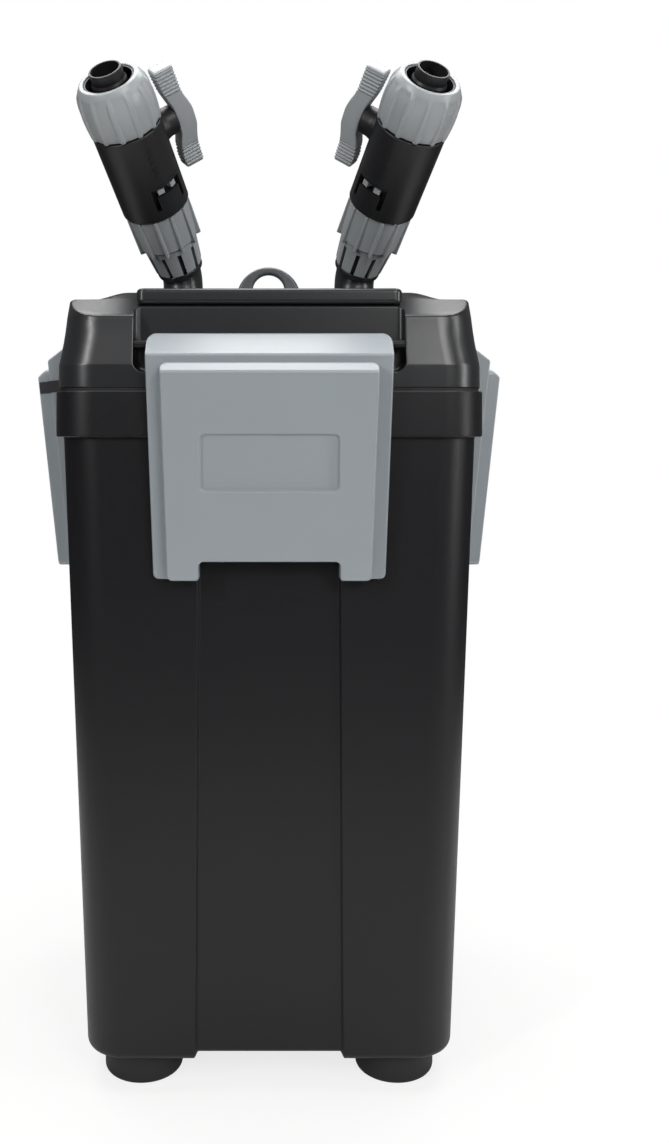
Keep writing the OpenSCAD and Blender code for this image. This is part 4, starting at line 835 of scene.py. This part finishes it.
def makeTail():
    s = valveSizes["tail"]
    seat, seatLow, seatHigh, sleeve, sleeveTop = (s[name] for name in (
        "seat", "seatLow", "seatHigh", "sleeve", "sleeveTop"))
    tube, barb, barbLow, barbHigh, lip, top = (s[name] for name in (
        "tube", "barb", "barbLow", "barbHigh", "lip", "top"))
    outline = [(s["bore"], s["baseLow"]), (s["base"], s["baseLow"]), (s["base"], seatLow - 0.2),
               (seat, seatLow - 0.2), (seat, seatHigh - 0.4), (seat - 0.4, seatHigh),
               (sleeve, seatHigh), (sleeve, sleeveTop - 0.2), (sleeve - 0.2, sleeveTop),
               (s["sleeveInside"], sleeveTop), (s["sleeveInside"], seatHigh),
               (tube + 0.6, seatHigh), (tube, seatHigh + 0.6), (tube, barbLow),
               (barb - 0.2, barbLow), (barb, barbLow + 0.3), (barb, barbHigh - 0.4), (barb - 0.15, barbHigh),
               (lip + 0.2, barbHigh + 0.9), (lip, barbHigh + 1.4)]
    outline += arc(lip - 0.4, top - 0.4, 0.4, 0, 90, 4)
    outline += [(s["mouthBore"] + 0.2, top), (s["mouthBore"], top - 0.3), (s["mouthBore"], barbHigh),
                (s["bore"], barbHigh - 1)]
    return smoothed(lathed("hoseTail", outline, 96), 40)


def makeBody(side):
    s = valveSizes["body"]
    out = -1 if side == "left" else 1
    edge, low, high, neck, neckTop = (s[name] for name in ("edge", "low", "high", "neck", "neckTop"))
    outline = [(s["bore"], low + 0.4), (s["bore"] + 0.4, low)]
    outline += arc(s["radius"] - edge, low + edge, edge, 270, 360, 4)
    outline += [(s["radius"], z) for z in s["levels"]]
    outline += arc(s["radius"] - edge, high - edge, edge, 0, 90, 4)
    outline += [(neck, high), (neck, neckTop - 0.4), (neck - 0.4, neckTop), (s["bore"], neckTop)]
    body = lathed("body", outline, 96)
    boss = lathed("boss", s["flare"] + [(s["boss"], s["bossLow"]), (s["boss"], s["bossEnd"] - 0.6),
                                        (s["boss"] - 0.6, s["bossEnd"]), (0.01, s["bossEnd"])], 48)
    lean = stemWay(side).to_track_quat("Z", "Y").to_matrix().to_4x4()
    joinedWith(body, turned(boss, Matrix.Translation((0, 0, s["stemAt"])) @ lean))
    cutBy(body, plug("clearBore", s["bore"], s["boreFrom"], s["boreTo"], 96))
    start, end = (math.radians(-90 - out * turn) for turn in (s["windowFrom"], s["windowTo"]))
    start, end = min(start, end), max(start, end)
    deep, far = s["radius"] - s["windowDepth"], s["radius"] + 1

    def band(name, low, high, inside, outside, first, last, steps=16):
        rings = []
        for step in range(steps + 1):
            turn = first + (last - first) * step / steps
            rings.append([(r * math.cos(turn), r * math.sin(turn), z) for r, z in
                          ((inside, low), (outside, low), (outside, high), (inside, high))])
        return lofted(name, rings)

    leg = s["leg"] / s["radius"]
    cutBy(body, band("slot", s["slotLow"], s["slotHigh"], deep, far, start, end))
    cutBy(body, band("leg", s["windowLow"], s["slotLow"] + 1, deep, far, start, start + leg, 3))
    cutBy(body, band("leg", s["windowLow"], s["slotLow"] + 1, deep, far, end - leg, end, 3))
    lipLow = s["slotHigh"] + 1.2
    joinedWith(body, band("lip", lipLow, lipLow + 0.7, deep, s["radius"] + 0.3, start - 0.03, end + 0.03))
    middle, tickAt = (start + end) / 2, math.radians(-90 - out * s["tickAt"])
    for step in range(s["ticks"]):  # a column of plain moulded ticks above the window
        tickLow = s["tickLow"] + s["tickPitch"] * step
        joinedWith(body, band("tick", tickLow, tickLow + s["tickHigh"], deep, s["radius"] + 0.55,
                              tickAt - s["tickHalf"], tickAt + s["tickHalf"], 3))
    teeth = [band("tooth", s["slotLow"] + 0.7, s["slotHigh"] - 1.1, deep - 0.4, s["radius"] - 0.7,
                  middle + turn - s["toothHalf"], middle + turn + s["toothHalf"], 4)
             for turn in (-s["toothApart"], s["toothApart"])]
    return smoothed(body, 35), smoothed(edgesEased(merged("teeth", *teeth), 0.25, 50, 2), 40)


def makeLever():  # cross-sections down its length; ribs are dips in its width near both ends
    s = valveSizes["lever"]
    steps = int((s["head"] - s["foot"]) / s["ribPitch"] * 8)
    rings = []
    for step in range(steps + 1):
        x = s["foot"] + (s["head"] - s["foot"]) * step / steps
        end = max(0, s["round"] - min(x - s["foot"], s["head"] - x))
        inset = s["round"] - math.sqrt(max(0.0, s["round"] ** 2 - end * end))
        low, high = smoothLine(s["inner"], x) + inset, smoothLine(s["outer"], x) - inset
        dip = 0.0
        for first, last in (s["ribsUp"], s["ribsDown"]):
            if first < x < last:  # whole ribs only, each a round ridge between narrow dips
                pitch = (last - first) / round((last - first) / s["ribPitch"])
                dip = s["ribDepth"] * abs(math.cos(math.pi * (x - first) / pitch)) ** 3
        half, tall = s["half"] - inset - dip, (high - low) / 2
        rings.append([(x, s["hub"] + (low + high) / 2 + y, z)
                      for z, y in roundedSquare(half, tall - dip * 0.35, s["corner"], 4)])
    lever = lofted("lever", rings)
    stem = plug("stemHole", s["stemHole"], s["stemFrom"], s["stemTo"], 32)
    cutBy(lever, turned(stem, Matrix.Rotation(math.radians(-90), 4, "X")))
    return smoothed(lever, 50, weighted=False)


collet, nut, tail, lever = makeCollet(), makeNut(), makeTail(), makeLever()
grey, black = "paleGreyAbs", "matteBlackNylon"
for side in ("left", "right"):
    tap, turn = side + "_tap", tailFrame(side)
    body, teeth = makeBody(side)
    elbow = placed(makeElbow(side), tap, "satinBlackAbs", "lid_black", side + "_elbow")
    placed(turned(body, turn), tap, black, "valve_black", side + "_valve_body")
    placed(turned(teeth, turn), tap, grey, "grey_plastic")
    elbow.name, body.name, teeth.name = side + "ElbowTube", side + "BodyShell", side + "LatchTeeth"
    for piece, name, place, rides, finish, slot, node in (
            (collet, "ColletBody", turn, "_collet", grey, "grey_plastic", "_collet"),
            (nut, "NutBody", turn, "_nut", grey, "grey_plastic", "_hose_nut"),
            (tail, "TailTube", turn, "_tap", black, "valve_black", "_hose_tail"),
            (lever, "LeverArm", stemFrame(side), "_valve", grey, "grey_plastic", "_lever")):
        placed(copied(piece, side + name, place), side + rides, finish, slot, side + node)
for spare in (collet, nut, tail, lever):
    bpy.data.objects.remove(spare)
print("Valves shaped")


# Pull ring and plunger

ringSizes = {"radius": 18, "middle": 394.3, "base": 390.3, "hole": 9, "holeZ": 399.4, "half": 4, "edge": 1.5,
             "cap": 21, "capHigh": 2, "rod": 5, "piston": 14.2, "pistonHigh": 5, "from": -66, "step": 4,
             "steps": 78}


def makePullRing():  # a loop round the finger hole, its two ends running down into the cap
    s = ringSizes
    rise = s["holeZ"] - s["middle"]
    rings = []
    for step in range(s["steps"] + 1):
        turn = math.radians(s["from"] + s["step"] * step)
        reach = math.sqrt(s["radius"] ** 2 - (rise * math.cos(turn)) ** 2) - rise * math.sin(turn)
        if turn < 0 or turn > math.pi:
            reach = min(reach, (s["holeZ"] - s["base"] - 0.7) / -math.sin(turn))
        thick = max(0.5, reach - s["hole"])
        ease = min(s["edge"], thick * 0.45)
        middle = s["hole"] + thick / 2
        rings.append([((middle + out) * math.cos(turn), across, s["holeZ"] + (middle + out) * math.sin(turn))
                      for out, across in roundedSquare(thick / 2, s["half"], ease, 5)])
    ring = lofted("ring", rings)
    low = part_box("priming_plunger")[0].z / mm
    edge = s["base"] + s["capHigh"]
    outline = [(0.01, low), (s["piston"], low), (s["piston"], low + s["pistonHigh"]),
               (s["rod"], low + s["pistonHigh"]), (s["rod"], s["base"]), (s["cap"] - 0.3, s["base"])]
    outline += arc(s["cap"] - 0.8, edge - 0.8, 0.8, 0, 90, 4) + [(0.01, edge)]
    return smoothed(joinedWith(lathed("plunger", outline, 72), ring), 35)


placed(makePullRing(), "plunger", "darkGreyAcetal", "plunger_grey", "priming_plunger")
print("Pull ring shaped")


# Pieces kept as they come from CAD, each with its finish

keptFinishes = {
    "mouldedRubber": ["front_left_foot", "front_right_foot", "rear_left_foot", "rear_right_foot",
                      "lid_gasket", "cable_gland", "left_elbow_seal", "right_elbow_seal", "plunger_seal",
                      "priming_flap", "riser_seal", "lower_shaft_bush", "upper_shaft_bush"],
    "matteVinylFilm": ["left_clip_label"],
    "blackenedSteel": ["front_hinge_pin", "rear_hinge_pin", "left_hinge_pin", "right_hinge_pin"],
    "groundStainlessSteel": ["head_screws", "left_elbow_ring", "right_elbow_ring", "left_valve_ball",
                             "right_valve_ball"],
    "plainBlackPolypropylene": ["head_base", "pump_cover", "priming_cylinder"],
    "waxyGreyPolypropylene": ["lower_basket", "middle_basket", "upper_basket", "basket_cover"],
    "slateBlueAbs": ["riser_pipe"],
    "pottedBlackEpoxy": ["motor_block"],
    "naturalAcetal": ["impeller"],
    "zirconiaCeramic": ["impeller_shaft"],
    "sinteredFerrite": ["rotor_magnet"],
    "coarseSlateFoam": ["lower_foam_pad"],
    "mediumOchreFoam": ["middle_foam_pad"],
    "fineWhiteFoam": ["upper_foam_pad"],
}
for finish, names in keptFinishes.items():
    for name in names:
        node = frame["nodes"][name]
        node.data.materials.clear()
        node.data.materials.append(materials[finish])
print("CAD pieces finished:", sum(len(names) for names in keptFinishes.values()))


# Studio

studio = {"board": "#e9e9e7", "boardFar": "#2c2c2c", "near": 0.2, "far": 0.4, "bounceNear": 0.34,
          "bounceFar": 0.8, "glowNear": 0.78, "around": 0.15}


def makeStudio():
    # Matte painted board: white to the camera, with its shadow kept near the object
    floor, tree = newMaterial("paleStudioFloor")
    place = addNode(tree, "TexCoord").outputs["Object"]
    away = addNode(tree, "VectorMath", {0: place}, operation="LENGTH").outputs["Value"]
    glowShare = addNode(tree, "MapRange", {
        "Value": away, "From Min": studio["near"], "From Max": studio["far"], "To Min": studio["glowNear"],
        "To Max": 1.0}, interpolation_type="SMOOTHSTEP")
    fade = addNode(tree, "MapRange", {
        "Value": away, "From Min": studio["bounceNear"], "From Max": studio["bounceFar"]},
        interpolation_type="SMOOTHSTEP")
    paint = addNode(tree, "Mix", {
        "Factor": fade.outputs["Result"], 6: linearColour(studio["board"]),
        7: linearColour(studio["boardFar"])}, data_type="RGBA")
    board = addNode(tree, "BsdfDiffuse", {"Color": paint.outputs[2]})
    glow = addNode(tree, "Emission", {"Color": (1, 1, 1, 1), "Strength": 1.0})
    rays = addNode(tree, "LightPath")
    share = addNode(tree, "Math", {0: rays.outputs["Is Camera Ray"], 1: glowShare.outputs["Result"]},
                    operation="MULTIPLY")
    mix = addNode(tree, "MixShader", {0: share.outputs[0], 1: board.outputs[0], 2: glow.outputs[0]})
    addNode(tree, "OutputMaterial", {"Surface": mix.outputs[0]})
    clearSelection()
    bpy.ops.mesh.primitive_plane_add(size=12)
    plane = bpy.context.object
    plane.name = "studioFloor"
    plane.data.materials.append(floor)
    world = bpy.data.worlds.new("studioWorld")
    bpy.context.scene.world = world
    world.use_nodes = True
    tree = world.node_tree
    tree.nodes.clear()
    soft = addNode(tree, "Background", {"Color": (1, 1, 1, 1), "Strength": studio["around"]})
    white = addNode(tree, "Background", {"Color": (1, 1, 1, 1), "Strength": 1.0})
    rays = addNode(tree, "LightPath")
    seen = addNode(tree, "Math", {0: rays.outputs["Is Camera Ray"], 1: rays.outputs["Is Transmission Ray"]},
                   operation="MAXIMUM")
    mix = addNode(tree, "MixShader", {0: seen.outputs[0], 1: soft.outputs[0], 2: white.outputs[0]})
    addNode(tree, "OutputWorld", {"Surface": mix.outputs[0]})


lamps = {
    "topSoftbox": {"at": (0, 0.15, 1.45), "aim": (0, 0, 0.35), "size": (1.5, 1.0), "power": 27},
    "frontRightSoftbox": {"at": (0.55, -1.24, 0.86), "aim": (0.05, 0, 0.34), "size": (0.6, 0.45),
                          "power": 9.2},
    "frontLeftFill": {"at": (-0.3, -1.25, 0.92), "aim": (-0.05, 0, 0.36), "size": (0.5, 0.4), "power": 0.9},
    "leftStripbox": {"at": (-0.95, -1.08, 0.84), "aim": (0, 0, 0.33), "size": (0.13, 0.7), "power": 10},
    "rightStripbox": {"at": (1.3, -0.55, 0.5), "aim": (0, 0, 0.28), "size": (0.2, 0.8), "power": 7},
}


def makeLamps():
    for name, lamp in lamps.items():
        light = bpy.data.lights.new(name, "AREA")
        light.shape = "RECTANGLE"
        light.size, light.size_y = lamp["size"]
        light.energy = lamp["power"]
        holder = bpy.data.objects.new(name, light)
        holder.location = lamp["at"]
        holder.rotation_euler = (Vector(lamp["aim"]) - Vector(lamp["at"])).to_track_quat("-Z", "Y").to_euler()
        bpy.context.scene.collection.objects.link(holder)


view = {"sensor": 36, "lens": 36.2, "shift": (0.0615, -0.1285), "at": (-0.0025, -0.647, 0.324),
        "tilt": (90, 0, 0), "clip": (0.05, 30)}


def makeCamera():
    camera = bpy.data.objects.new("studioCamera", bpy.data.cameras.new("studioCamera"))
    camera.data.sensor_width = view["sensor"]
    camera.data.lens = view["lens"]
    camera.data.shift_x, camera.data.shift_y = view["shift"]
    camera.location = view["at"]
    camera.rotation_euler = [math.radians(turn) for turn in view["tilt"]]
    camera.data.clip_start, camera.data.clip_end = view["clip"]
    bpy.context.scene.collection.objects.link(camera)
    bpy.context.scene.camera = camera


makeStudio()
makeLamps()
makeCamera()
bpy.context.scene.view_settings.view_transform = "Standard"
